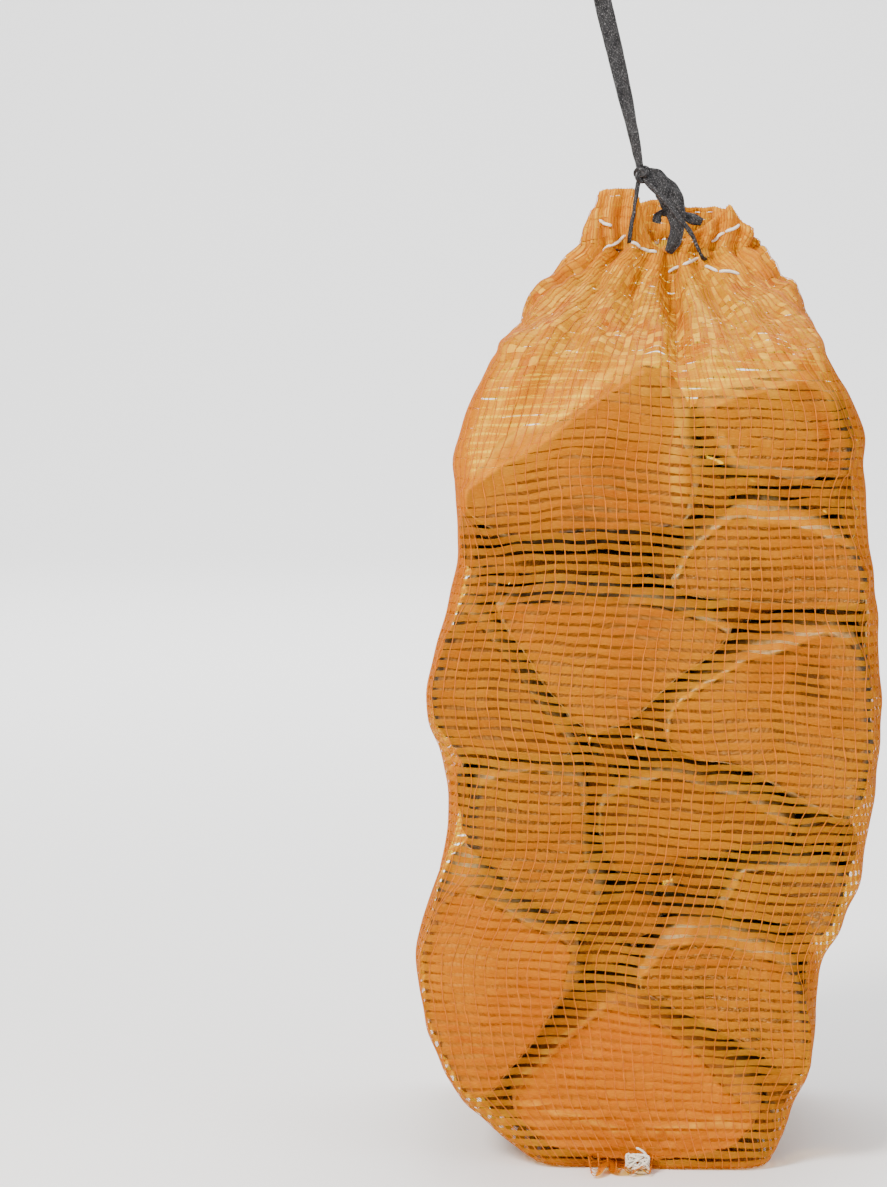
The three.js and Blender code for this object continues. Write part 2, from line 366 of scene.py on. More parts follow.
# Turns a closed piece the right way out where the sum of its corner volumes is negative.
def pointedOut(obj):
    mesh = obj.data
    mesh.calc_loop_triangles()
    points = np.empty(len(mesh.vertices) * 3)
    mesh.vertices.foreach_get("co", points)
    corner = np.empty(len(mesh.loop_triangles) * 3, np.int32)
    mesh.loop_triangles.foreach_get("vertices", corner)
    a, b, c = points.reshape(-1, 3)[corner.reshape(-1, 3)].transpose(1, 0, 2)
    if (np.cross(a, b) * c).sum() < 0:
        mesh.flip_normals()
    return obj


tapeLook = {
    "dark": (0.0035, 0.0033, 0.004, 1.0),
    "mid": (0.020, 0.019, 0.021, 1.0),
    "pale": (0.16, 0.155, 0.16, 1.0),
}


# Black flat tape: painted sheen on long creases and painted sparkle in pale flecks, from noise drawn out
# along the tape.
def tapeMaterial():
    material, board = newMaterial("blackTape")
    weave = board.weave()
    streak = board.noise(board.stretch(weave, (1.9, 0.22, 1)), 1.0, 4.0, 0.65)
    fleck = board.noise(board.stretch(weave, (3.2, 0.9, 1)), 1.0, 2.0, 0.5, 3.0)
    # painted sheen along the creases, then painted sparkle in the pale flecks
    color = board.blend(board.ramp(streak, 0.40, 0.62), tapeLook["dark"], tapeLook["mid"])
    color = board.blend(board.ramp(fleck, 0.55, 0.66), color, tapeLook["pale"])
    height = board.timesPlus(fleck, 0.5, streak)
    output(board, principled(board, color, board.timesPlus(fleck, 0.3, 0.38),
                             board.bump(height, 0.9, 0.0009), **{"Specular IOR Level": 0.3}))
    return material


blackTape = tapeMaterial()

# The drawstring, in mm: once round the neck, knotted above it, one end short, the other held taut by
# something above.
drawstring = {
    "loop": [
        [-4.6, -18, 534], [-6, -18, 529.6], [-7.5, -19.5, 519], [-9.4, -20.2, 508], [-10.4, -19.6, 500],
        [-10.8, -14.4, 496.8], [-12, -9, 496], [-15, -6.5, 496.5], [-20.5, -3, 495], [-20, 2.5, 494],
        [-14, 6, 493.5], [2, 6.5, 493.5], [24, 6.5, 493.5], [38, 5.5, 494], [43.5, 1.5, 493],
        [41, -3.5, 492], [35, -7.5, 490], [31.6, -12, 488.8], [30.6, -17, 488.2], [29.4, -21.8, 489.4],
        [26.6, -24.6, 495.5], [22.5, -25, 503], [10.5, -23.6, 518.5], [-1, -19.4, 530],
        [-3.2, -18, 534],
    ],
    "short": [
        [-2.5, -17.4, 535], [1.0, -17, 533.8], [5.6, -16.2, 530.8], [10.0, -16, 525.4],
        [13.4, -16, 517.6], [15.6, -16, 508.5], [14.6, -16.6, 500], [10.6, -17.5, 491.5],
    ],
    "turns": [[[11, -14.5, 513], [8, -16, 513.8], [5.2, -17, 511.9], [4.0, -17.2, 508.0]],
              [[14, -13.0, 515], [19, -12.4, 512.6], [24, -12, 510.5], [29.5, -11.4, 508.5]]],
    "tail": [[-4.6, -18, 537.5], [-5.3, -18, 540.4], [-8.5, -18, 556], [-13, -18, 576], [-18.6, -18, 600],
             [-24, -18, 622], [-29.5, -18, 645]],
    # knots: middle, size, tilt in radians, width of the tape in metres
    "knot": ((-4, -18, 535), 2.35, 0.5, 0.0047),
    "endKnot": ((-31, -18, 651.4), 2.75, 0.2, 0.0056),
    "diameter": 0.0085,       # of the tapes as cords, in metres
}
# How each tape is carried: widths along it and thickness in metres, turns along it in radians, crease
# depth, bows along it and the seed of its creases.
drawstringTapes = {
    "loop": ([0.0027, 0.0024, 0.0026, 0.0028, 0.0036], 0.0018, [0.5, 4, 9, 13, 16], 0.16, 0.0, 3),
    "tail": ([0.0050, 0.0066, 0.0084, 0.0092, 0.0098, 0.0092], 0.0011,
             [0.55, 0.3, 0.1, -0.15, 0.1, 0.3], 0.16, [0.3, 0.1, -0.15, 0.1, 0.3], 5),
    "short": ([0.0070, 0.0124, 0.0146, 0.0140, 0.0108, 0.0078, 0.0078, 0.0056], 0.0010,
              [0.2, 0.45, 0.2, -0.3, 0.2, 0.5], 0.11, [0.2, 0.5, 0.3, -0.2, 0.2], 9),
    "turn1": ([0.0036, 0.0060, 0.0066, 0.0044], 0.0009, [0.3, 0.9, 0.2, -0.4], 0.14, 0.0, 23),
    "turn2": ([0.0036, 0.0060, 0.0066, 0.0044], 0.0009, [0.3, 0.9, 0.2, -0.4], 0.14, 0.0, 24),
}


# A knot of tape: a trefoil line, three turns round while two over, carried in the tape's section.
def makeKnot(name, place, size, tilt, width):
    turn = np.linspace(0, 2 * np.pi, 150)
    radius = 1.35 + 0.85 * np.cos(3 * turn)
    route = np.stack([radius * np.cos(2 * turn), 1.05 * np.sin(3 * turn), radius * np.sin(2 * turn)], axis=-1)
    route[:, 0], route[:, 2] = (route[:, 0] * math.cos(tilt) - route[:, 2] * math.sin(tilt),
                                route[:, 0] * math.sin(tilt) + route[:, 2] * math.cos(tilt))
    route = np.array(place) * mm + route * size * 0.62 * mm
    knot = makeTape(name, route, width, width * 0.62, [0, 2.4, 5, 7], 0.12, 0.0, 17)
    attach(knot, "root")
    return knot


# The knots, the loop round the neck, the tail, the short end and its two turns, each along its own route.
def makeDrawstring():
    knot = makeKnot("drawstring_knot_tape", *drawstring["knot"])
    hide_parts("drawstring_knot")
    endKnot = makeKnot("drawstring_end_knot_tape", *drawstring["endKnot"])
    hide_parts("drawstring_end_knot")
    loopRoute, _ = smoothRoute(np.array(drawstring["loop"]) * mm, 260)
    loop = makeTape("drawstring_loop_tape", loopRoute, *drawstringTapes["loop"])
    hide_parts("drawstring_loop")
    tailRoute, tailLength = smoothRoute(np.array(drawstring["tail"]) * mm, 160)
    tail = makeTape("drawstring_tail_tape", tailRoute, *drawstringTapes["tail"])
    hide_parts("drawstring_tail")
    shortRoute, shortLength = smoothRoute(np.array(drawstring["short"]) * mm, 90)
    short = makeTape("drawstring_short_end_tape", shortRoute, *drawstringTapes["short"])
    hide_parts("drawstring_short_end")
    turns = []
    for k, knots in enumerate(drawstring["turns"], 1):
        turnRoute, _ = smoothRoute(np.array(knots) * mm, 60)
        turns.append(makeTape(f"drawstring_turn_{k}", turnRoute, *drawstringTapes[f"turn{k}"]))
    for piece in (loop, tail, short, *turns):
        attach(piece, "root")
    print("stage 2: drawstring tied, tail", round(tailLength, 4), "short end", round(shortLength, 4))


makeDrawstring()


# Wood: rings round the pith on the cut ends, fibres along Y on the split sides, bark where the trunk's
# skin is left.
woodLook = {
    "endPale": (0.31, 0.122, 0.014, 1.0),
    "endDeep": (0.14, 0.046, 0.006, 1.0),
    "endBright": (0.52, 0.165, 0.0, 1.0),
    "sidePale": (0.90, 0.74, 0.48, 1.0),
    "sideDeep": (0.50, 0.32, 0.14, 1.0),
    "fur": (0.52, 0.31, 0.11, 1.0),
    "barkPale": (0.105, 0.078, 0.055, 1.0),
    "barkDeep": (0.022, 0.013, 0.008, 1.0),
    # dark stain colour, also used for the painted shade deep along the split sides
    "stainAndShade": (0.065, 0.026, 0.009, 1.0),
    "ringPace": 0.0023,       # metres from one growth ring to the next
}


# Sawn ends, split sides and bark are three colours, mixed by the shares kept at the points; then the tone,
# which holds each log's own darkness and knots and the painted shade deep along its split sides.
def woodMaterial():
    material, board = newMaterial("splitWood")
    pith = board.add("Attribute", attribute_name="pithPlace")
    place = pith.outputs["Vector"]
    seed = board.attribute("logSeed")
    endShare = board.attribute("endShare")
    barkShare = board.attribute("barkShare")
    roughShare = board.attribute("roughShare")
    toneAndShadeShare = board.attribute("toneAndShadeShare")
    flat = board.stretch(place, (1, 0.02, 1))
    wander = board.noise(flat, 28, 2.0, 0.5, seed)
    distance = board.add("VectorMath", operation="LENGTH")
    board.put(flat, distance.inputs[0])
    reach = board.timesPlus(wander, 0.012, distance.outputs["Value"])
    rings = board.maths("SINE", board.times(reach, 2 * math.pi / woodLook["ringPace"]))
    ringShare = board.timesPlus(rings, 0.5, 0.5)
    ringShare = board.maths("POWER", ringShare, 2.2)
    # end grain
    blotch = board.noise(place, 22, 4.0, 0.6, seed)
    fuzz = board.noise(board.stretch(place, (1, 1, 2.2)), 420, 3.0, 0.7, seed)
    sawLines = board.noise(board.stretch(place, (60, 60, 900)), 1.0, 3.0, 0.6, seed)
    endColor = board.blend(board.times(ringShare, 0.5), woodLook["endPale"], woodLook["endDeep"])
    endColor = board.blend(board.ramp(blotch, 0.42, 0.72), endColor, woodLook["endDeep"])
    endColor = board.blend(board.times(board.ramp(sawLines, 0.45, 0.75), 0.35), endColor, woodLook["stainAndShade"])
    endColor = board.blend(board.times(board.ramp(fuzz, 0.50, 0.68), roughShare),
                           endColor, woodLook["fur"])
    # split sides
    fibre = board.noise(board.stretch(place, (340, 9, 340)), 1.0, 4.0, 0.65, seed)
    streak = board.noise(board.stretch(place, (70, 3, 70)), 1.0, 3.0, 0.6, seed)
    sideColor = board.blend(board.ramp(streak, 0.35, 0.68), woodLook["sidePale"], woodLook["sideDeep"])
    sideColor = board.blend(board.times(board.ramp(fibre, 0.5, 0.8), 0.55), sideColor, woodLook["stainAndShade"])
    wood = board.blend(endShare, sideColor, endColor)
    # bark
    scale = board.noise(board.stretch(place, (120, 45, 120)), 1.0, 5.0, 0.65, seed)
    barkColor = board.blend(board.ramp(scale, 0.35, 0.65), woodLook["barkDeep"], woodLook["barkPale"])
    color = board.blend(barkShare, wood, barkColor)
    # darkening by the tone: each log's own darkness, its knots and the painted shade deep along the split
    # sides
    color = board.blend(board.times(toneAndShadeShare, 0.6), color, woodLook["stainAndShade"])
    color = board.blend(board.times(toneAndShadeShare, -1.0), color, woodLook["endBright"])
    height = board.maths("ADD", board.times(fibre, board.maths("SUBTRACT", 1.0, endShare)),
                         board.times(fuzz, board.timesPlus(roughShare, 1.2, 0.25)))
    height = board.maths("ADD", height, board.times(board.times(ringShare, endShare), 0.25))
    height = board.timesPlus(board.times(scale, barkShare), 2.0, height)
    normal = board.bump(height, 0.7, 0.0009)
    rough = board.timesPlus(fibre, 0.2, 0.68)
    output(board, principled(board, color, rough, normal, **{"Specular IOR Level": 0.15}))
    return material


splitWood = woodMaterial()

# For each log: which way its bark faces (degrees from +X towards +Z, and half the spread), how far the
# pith lies from the bark, how furry the sawn end is, how dark the log is, and how coarse its split faces
# are.
logFinish = {
    "split_log_top_left": {"bark": (270, 16), "pith": 0.14, "rough": 0.15, "tone": 0.06, "coarse": 0.7},
    "split_log_top_right": {"bark": (355, 40), "pith": 0.09, "rough": 0.85, "tone": 0.16, "coarse": 1.0},
    "split_log_right_shoulder": {"bark": (5, 38), "pith": 0.08, "rough": 0.55, "tone": 0.04, "coarse": 0.8},
    "split_log_centre_wedge": {"bark": (100, 24), "pith": 0.085, "rough": 0.1, "tone": 0.12, "coarse": 0.6},
    "split_log_left_side": {"bark": (185, 50), "pith": 0.07, "rough": 0.1, "tone": 0.42, "coarse": 0.8},
    "split_log_right_large": {"bark": (350, 48), "pith": 0.1, "rough": 0.3, "tone": 0.02, "coarse": 0.8,
                              "spots": [(86, 264, 12, 1.3), (70, 240, 5, 0.5), (60, 268, 6, 0.4)]},
    "split_log_left_round": {"bark": (200, 55), "pith": 0.06, "rough": 0.6, "tone": 0.42, "coarse": 1.2},
    "split_log_half_round": {"bark": (265, 45), "pith": 0.055, "rough": 0.35, "tone": 0.55, "coarse": 1.0},
    "split_log_right_small": {"bark": (330, 60), "pith": 0.06, "rough": 0.7, "tone": 0.45, "coarse": 1.2},
    "split_log_lower_right": {"bark": (350, 50), "pith": 0.07, "rough": 1.0, "tone": -0.12, "coarse": 1.2,
                              "spots": [(30, 100, 5, 0.6), (58, 76, 4, 0.9),
                                        (72, 84, 5, 0.8), (8, 92, 3, 0.6)]},
    "split_log_lower_left": {"bark": (205, 70), "pith": 0.085, "rough": 0.05, "tone": -0.45, "coarse": 0.7},
    "split_log_bottom_wedge": {"bark": (270, 60), "pith": 0.09, "rough": 0.05, "tone": -0.75, "coarse": 0.7},
}
logGrain = {
    "grid": (176, 58, 15),    # points round the outline, rings from end to end, rings on each cut end
    "endRounding": 0.0016,
    "grooveDepth": 0.0009,    # split fibres
    "faceWave": 0.0016,       # slow waves of a split face
    "barkHeight": 0.0013,
    "swell": 0.47,
    "swellOut": 0.84,
    "paintedShadeDeep": 0.55,         # painted shade: split sides darker away from the cut ends, where the pile would shade them
    "sawDepth": 0.00035,
}


# Rows up the sack: height, left, right, half depth and corner radius, in mm.
sackProfile = [
    (0, -52, 62, 104, 16), (3, -60, 67, 109, 14), (22, -86, 76, 115, 10), (36, -103, 82, 116, 10),
    (62, -116, 91, 116, 10), (104, -125, 92, 116, 10), (118, -125, 96, 116, 10),
    (128, -122, 105, 116, 10), (148, -115, 112, 116, 10), (170, -107, 118, 116, 10),
    (218, -107, 124, 116, 10), (234, -116, 125, 116, 10), (254, -120, 125, 116, 10),
    (274, -116, 124, 116, 10), (314, -102, 121, 116, 10), (360, -102, 115, 116, 10),
    (378, -106, 116, 116, 10), (393, -103, 117, 116, 10), (407, -97, 112, 116, 10),
    (423, -90, 103, 116, 11), (436, -83, 96, 111, 12), (448, -76, 91, 90, 14), (462, -65, 84, 58, 18),
    (476, -55, 75, 32, 17), (487, -44, 64, 19, 14), (495, -33, 58, 14, 12),
]


# The split section from the CAD log: its full-size outline near the front end, in order round the middle.
def logOutline(points):
    front = points[:, 1].min()
    rim = points[np.abs(points[:, 1] - front - 0.002) < 0.0006][:, [0, 2]]
    rim = np.unique(np.round(rim, 5), axis=0)
    centre = rim.mean(0)
    return rim[np.argsort(np.arctan2(rim[:, 1] - centre[1], rim[:, 0] - centre[0]))]


# Evenly spaced points round a closed polygon.
def evenOutline(corners, count):
    return evenly(np.vstack([corners, corners[:1]]), count, True)[:2]


logOutlines = {name: evenOutline(logOutline(cadPoints(name)), logGrain["grid"][0])[0] for name in logFinish}


# How much each point of a log's outline swells at the middle of its length: just under half of the way
# to the nearest log and most of the way to the net, where that lies straight ahead and near, so that the
# pile stops the light.
def swelling(name, outline, normal):
    rows = np.array(sackProfile) * mm
    level = np.arange(0.02, 0.44, 0.002)
    rims = [np.stack([np.interp(level, rows[:, 0], rows[:, k]), level], axis=-1) for k in (1, 2)]
    others = np.concatenate(rims + [o for other, o in logOutlines.items() if other != name])
    toNet = np.arange(len(others)) < 2 * len(level)
    to = others[None] - outline[:, None]
    far = np.linalg.norm(to, axis=-1)
    near = far.argmin(1)
    step = to[np.arange(len(to)), near]
    gap = far[np.arange(len(to)), near]
    ahead = np.clip((step * normal).sum(-1) / np.maximum(gap, 1e-6), 0, 1)
    amount = np.where(toNet[near], logGrain["swellOut"] * np.maximum(gap - 0.003, 0), logGrain["swell"] * gap)
    amount *= ahead * (1 - smoothStep(gap, 0.030, 0.042))
    wrap = np.concatenate([amount[-6:], amount, amount[:6]])
    return np.convolve(wrap, np.ones(13) / 13, "valid")


# The side wall is the outline carried along Y, pushed in along its normal by fibre grooves and slow
# waves and out by bark; each end is the outline drawn in to its middle in rings, with saw ridges pushed
# along Y.
def makeLog(name, seed, finish, corners, low, high, swells=True):
    around, rings, capRings = logGrain["grid"] if swells else gapShadeOffcuts["grid"]
    outline, walked = evenOutline(corners, around)
    centre = outline.mean(0)
    ahead, behind = np.roll(outline, -2, 0), np.roll(outline, 2, 0)
    tangent = unit(ahead - behind)
    normal = np.stack([tangent[:, 1], -tangent[:, 0]], axis=-1)
    facing = np.degrees(np.arctan2(normal[:, 1], normal[:, 0]))
    barkWay, barkSpread = finish["bark"]
    off = np.abs((facing - barkWay + 180) % 360 - 180)
    bark = 1 - smoothStep(off, barkSpread - 8, barkSpread + 8)
    bark = np.convolve(np.concatenate([bark[-3:], bark, bark[:3]]), np.ones(7) / 7, "valid")

    along = np.linspace(0, 1, rings)
    y = low + (high - low) * along
    s, t = np.meshgrid(walked, y)
    # grooves come from the distance round the outline and hardly change along the log
    grooves = ripple(s, t * 0.03, 0.0035, seed) * 0.6 + ripple(s, t * 0.05, 0.009, seed + 1) * 0.7
    waves = ripple(s, t * 0.35, 0.055, seed + 2)
    lumps = ripple(s, t * 0.6, 0.012, seed + 3) + 0.6 * ripple(s, t * 0.8, 0.005, seed + 4)
    push = -logGrain["grooveDepth"] * finish["coarse"] * (0.55 + 0.45 * grooves) * (1 - bark)
    push -= logGrain["faceWave"] * (0.5 + 0.5 * waves)
    toEnd = np.minimum(t - low, high - t)
    if swells:
        push += swelling(name, outline, normal) * smoothStep(toEnd, 0.004, 0.060)
    push += logGrain["barkHeight"] * 0.5 * lumps * bark
    inside = np.clip(toEnd / logGrain["endRounding"] / 2, 0, 1)
    push -= logGrain["endRounding"] * (1 - np.sqrt(1 - (1 - inside) ** 2))
    wallX = outline[None, :, 0] + normal[None, :, 0] * push
    wallZ = outline[None, :, 1] + normal[None, :, 1] * push
    wall = np.stack([wallX, t, wallZ], axis=-1)

    points, faces = [wall.reshape(-1, 3)], [gridQuads(rings, around, True)[:, ::-1]]
    endShare = [np.repeat((toEnd[:, :1] < 1e-6) * 1.0, around, 1).ravel()]
    barkHere = [np.broadcast_to(bark, s.shape).ravel()]
    count = wall.shape[0] * wall.shape[1]
    for end, edge, outwards in ((0, wall[0], -1), (-1, wall[-1], 1)):
        share = np.linspace(1, 0, capRings + 1)[1:-1] ** 0.9
        core = np.array([centre[0], 0, centre[1]])
        flat = core + (edge * [1, 0, 1] - core) * share[:, None, None]
        saw = ripple(flat[..., 0] * 0.12, flat[..., 2], 0.0045, seed + 5)
        fur = ripple(flat[..., 0], flat[..., 2], 0.0032, seed + 6, 15)
        depth = logGrain["sawDepth"] * (saw + fur * finish["rough"] * 2.2) + 0.0012 * ripple(
            flat[..., 0], flat[..., 2], 0.07, seed + 7) * 0.6
        flat[..., 1] = edge[None, :, 1] - outwards * 0.0004 + depth
        hub = np.array([[centre[0], edge[0, 1] - outwards * 0.0004, centre[1]]])
        rimIndex = (0 if end == 0 else (rings - 1) * around) + np.arange(around)
        nextIndex = np.roll(rimIndex, -1)
        inner = count + np.arange(around)
        ring = np.stack([rimIndex, nextIndex, np.roll(inner, -1), inner], axis=-1)
        rest = gridQuads(len(share), around, True, count)
        last = inner + (len(share) - 1) * around
        fan = np.stack([last, np.roll(last, -1), np.full(around, count + len(share) * around)], axis=-1)
        for part in (ring, rest, fan):
            faces.append(part if outwards > 0 else part[:, ::-1])
        points += [flat.reshape(-1, 3), hub]
        endShare.append(np.ones(len(share) * around + 1))
        barkHere.append(np.zeros(len(share) * around + 1))
        count += len(share) * around + 1
    points = np.concatenate(points)
    barkDirection = np.array([math.cos(math.radians(barkWay)), math.sin(math.radians(barkWay))])
    pith = centre - barkDirection * (finish["pith"] - np.abs((outline - centre) @ barkDirection).max())
    tone = np.full(len(points), finish["tone"])
    fromEnd = np.minimum(points[:, 1] - low, high - points[:, 1])
    # painted shade: the split sides darken away from the cut ends
    tone += logGrain["paintedShadeDeep"] * smoothStep(fromEnd, 0.012, 0.065) * (1 - np.concatenate(endShare))
    for x, z, radius, depth in finish.get("spots", ()):
        off = np.hypot(points[:, 0] - x * mm, (points[:, 2] - z * mm) * 0.8)
        off += 0.25 * radius * mm * ripple(points[:, 0], points[:, 2], 0.012, 77)
        tone += depth * (1 - smoothStep(off, radius * mm * 0.5, radius * mm))
    values = {
        "pithPlace": points - [pith[0], 0, pith[1]],
        "endShare": np.concatenate(endShare),
        "barkShare": np.concatenate(barkHere),
        "logSeed": np.full(len(points), seed * 1.37),
        "roughShare": np.full(len(points), finish["rough"]),
        "toneAndShadeShare": tone,
    }
    log = makeMesh(name.replace("split_log", "wood"), points, faces, splitWood, values=values)
    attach(log, "root")
    return log


for i, (name, finish) in enumerate(logFinish.items()):
    solid = cadPoints(name)
    log = makeLog(name, 11 + 10 * i, finish, logOutline(solid), solid[:, 1].min(), solid[:, 1].max())
    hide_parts(name)

# Thin offcuts that lie in the gaps, well behind the cut ends: darker wood put there to stand in for the shade
# deep in the gaps and to keep light from showing through them.
gapShadeOffcuts = {
    # their darker tone is painted shade for the gaps
    "finish": {"bark": (200, 70), "pith": 0.05, "rough": 0.4, "tone": 0.35, "coarse": 1.2},
    "ends": (-0.078, 0.088),
    "grid": (48, 14, 4),
    # middle (x, z), half width and half height in tenths of a mm, turn in degrees
    "places": [
        (-140, 1320, 260, 170, 10), (-430, 3235, 560, 100, -3), (-180, 2225, 140, 80, 5),
        (530, 2995, 220, 90, 12), (300, 3660, 120, 200, 60), (-860, 2195, 190, 60, 0),
        (-255, 2030, 95, 240, -4), (940, 1780, 180, 90, 15), (-660, 270, 140, 140, 20),
        (620, 1410, 300, 60, -6), (280, 1560, 180, 130, -10), (-240, 1120, 180, 110, 0),
        (-985, 1950, 52, 220, 4), (1095, 1720, 55, 120, 0), (720, 390, 110, 140, 0),
        (-830, 370, 100, 100, 0), (120, 1620, 100, 100, 0), (-360, 2340, 100, 60, 0),
        (720, 3710, 200, 60, -8), (1040, 3720, 80, 140, 0), (-955, 3380, 60, 200, 0),
        (840, 1220, 90, 120, 0), (-770, 290, 120, 80, -30), (640, 210, 90, 130, 0), (-80, 3405, 140, 40, 0),
        (220, 3520, 70, 80, 0), (1010, 1720, 50, 110, 0), (-40, 2365, 70, 60, 0), (125, 1580, 70, 60, 0),
        (-360, 1130, 70, 60, 0), (-860, 2165, 70, 60, 0), (1075, 3520, 65, 180, 0),
        (860, 3625, 240, 50, -4), (1160, 2900, 45, 200, 0), (862, 1050, 40, 200, 0),
        (1110, 1660, 45, 140, -10), (-730, 3185, 80, 60, 0), (-10, 3370, 100, 50, 0),
        (920, 3555, 100, 50, 0), (102, 1560, 70, 60, 0), (-300, 2325, 80, 50, 0), (275, 3545, 70, 60, 0),
        (-65, 2345, 70, 50, 0), (-860, 3400, 80, 50, 0), (120, 3240, 130, 130, 0),
        (460, 3660, 140, 60, -10), (980, 3615, 140, 60, 0), (1040, 2975, 130, 40, 0),
        (-880, 3105, 120, 70, -20), (40, 2400, 130, 100, 30), (360, 3940, 100, 200, 18),
        (-600, 1265, 200, 50, -8)]
}
for i, (*place, tilt) in enumerate(gapShadeOffcuts["places"]):
    x, z, wide, high = (v / 10000 for v in place)
    angle = np.radians(np.arange(0, 360, 45) + 12 * np.sin(np.arange(8) * 2.3 + i))
    c, s = math.cos(math.radians(tilt)), math.sin(math.radians(tilt))
    acrossX, upZ = wide * np.cos(angle), high * np.sin(angle)
    corner = np.stack([x + acrossX * c - upZ * s, z + acrossX * s + upZ * c], axis=-1)
    makeLog(f"wood_offcut_{i + 1}", 301 + 10 * i, gapShadeOffcuts["finish"], corner, *gapShadeOffcuts["ends"], False)
print("stage 3: logs made")


# The net sack; the back is a little deeper than the profile.
netShape = {
    "profile": sackProfile,
    "backDepth": 1.115,
    "frontRim": ([-40, -32, -28, -25, -21, -6, -3, 0, 5, 10, 14, 20, 28, 34, 42, 47, 53, 60],
                 [500, 505, 515, 523, 527, 527, 522, 507, 498, 495, 497, 501, 506, 511, 518, 512, 503, 498]),
    "backRim": ([-30, -25, -21, -12, 0, 20, 35, 45, 52, 59],
                [499, 505, 512, 520, 521, 519, 517, 512, 503, 497]),
    "rimRing": (-28, 57, 15, 12),
    "seam": (-0.004, -0.095),     # where the bottom is gathered
    "around": 480,
    "rowStep": 0.003,
    "clearance": 0.0014,      # tapes above the wood
    "slack": 0.014,           # how far the net is drawn in between the logs, front and back
    "hold": 0.006,            # how strongly it keeps the profile
    "rounds": 1600,
    "hemDepth": 0.030,
}


# 1 at the middle, falling away on both sides as e to the minus square of the distance over the width.
def bump(value, middle, width):
    return np.exp(-((value - middle) / width) ** 2)


# A rounded rectangle about the origin, walked evenly from the middle of the back towards -X.
def roundedSection(half, depth, corner, count):
    turn = np.linspace(0, np.pi / 2, 16)[None, :] + np.pi / 2 * np.array([1, 2, 3, 4])[:, None]
    signX, signY = np.array([-1, -1, 1, 1])[:, None], np.array([1, -1, -1, 1])[:, None]
    x = signX * (half - corner) + corner * np.cos(turn)
    y = signY * (depth - corner) + corner * np.sin(turn)
    path = np.stack([np.r_[0, x.ravel(), 0], np.r_[depth, y.ravel(), depth]], axis=-1)
    return evenly(path, count, True)[0]


# How far a level ray from the middle of the row must go to be clear of every log: the last way out of a
# box that is the log's width at that height, and its length.
def clearOfLogs(centreX, heights, way):
    reach = np.zeros(way.shape[:2])
    for name in logFinish:
        outline = logOutline(cadPoints(name))
        low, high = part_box(name)
        closed = np.vstack([outline, outline[:1]])
        across = np.full((len(heights), 2), np.nan)
        for a, b in zip(closed[:-1], closed[1:]):
            share = (heights - a[1]) / (b[1] - a[1] + 1e-9)
            x = np.where((share >= 0) & (share <= 1), a[0] + (b[0] - a[0]) * share, np.nan)
            across = np.stack([np.fmin(across[:, 0], x), np.fmax(across[:, 1], x)], axis=-1)
        here = ~np.isnan(across[:, 0])
        dx = np.where(np.abs(way[..., 0]) < 1e-6, 1e-6, way[..., 0])
        dy = np.where(np.abs(way[..., 1]) < 1e-6, 1e-6, way[..., 1])
        sides = (across - centreX[:, None])[:, None, :] / dx[..., None]
        ends = np.array([low[1], high[1]])[None, None, :] / dy[..., None]
        into = np.maximum(sides.min(-1), ends.min(-1))
        out = np.minimum(sides.max(-1), ends.max(-1))
        hit = here[:, None] & (into <= out) & (out > 0)
        reach = np.where(hit, np.maximum(reach, out), reach)
    return reach


# Outward unit normals of a sheet of points that joins up sideways.
def surfaceNormals(points):
    sideways = np.roll(points, -1, 1) - np.roll(points, 1, 1)
    upwards = np.gradient(points, axis=0)
    return unit(np.cross(sideways, upwards))


netPleats = {
    "count": 19,
    "neckDepth": 0.0036,      # half height of the pleats at the drawstring
    "reach": 0.052,           # how far down they run
    # single folds at the front, in mm: top and bottom ends (x, z), half width, height, inward when negative
    "folds": [(9, 489, 22, 404, 5.0, -11.0), (20, 436, 21, 330, 3.0, 2.6), (-26, 488, -98, 366, 5.0, 4.4),
              (-20, 488, -78, 370, 5.0, -4.0), (-9, 488, -54, 390, 5.0, 3.4), (-2, 488, -24, 402, 4.0, -3.6),
              (31, 488, 58, 410, 5.0, -3.4), (40, 488, 84, 402, 6.0, 3.0), (52, 490, 108, 398, 6.0, -3.2),
              (57, 490, 118, 372, 5.0, 2.6), (-32, 480, -104, 330, 5.0, -3.0),
              (-66, 34, 6, 22, 2.6, 3.0), (-8, 26, 70, 10, 2.6, 2.8)],
    "footFolds": 0.0035,
    "veeDepth": 0.0075,       # the front of the ruffle is pushed in where it is knotted
}


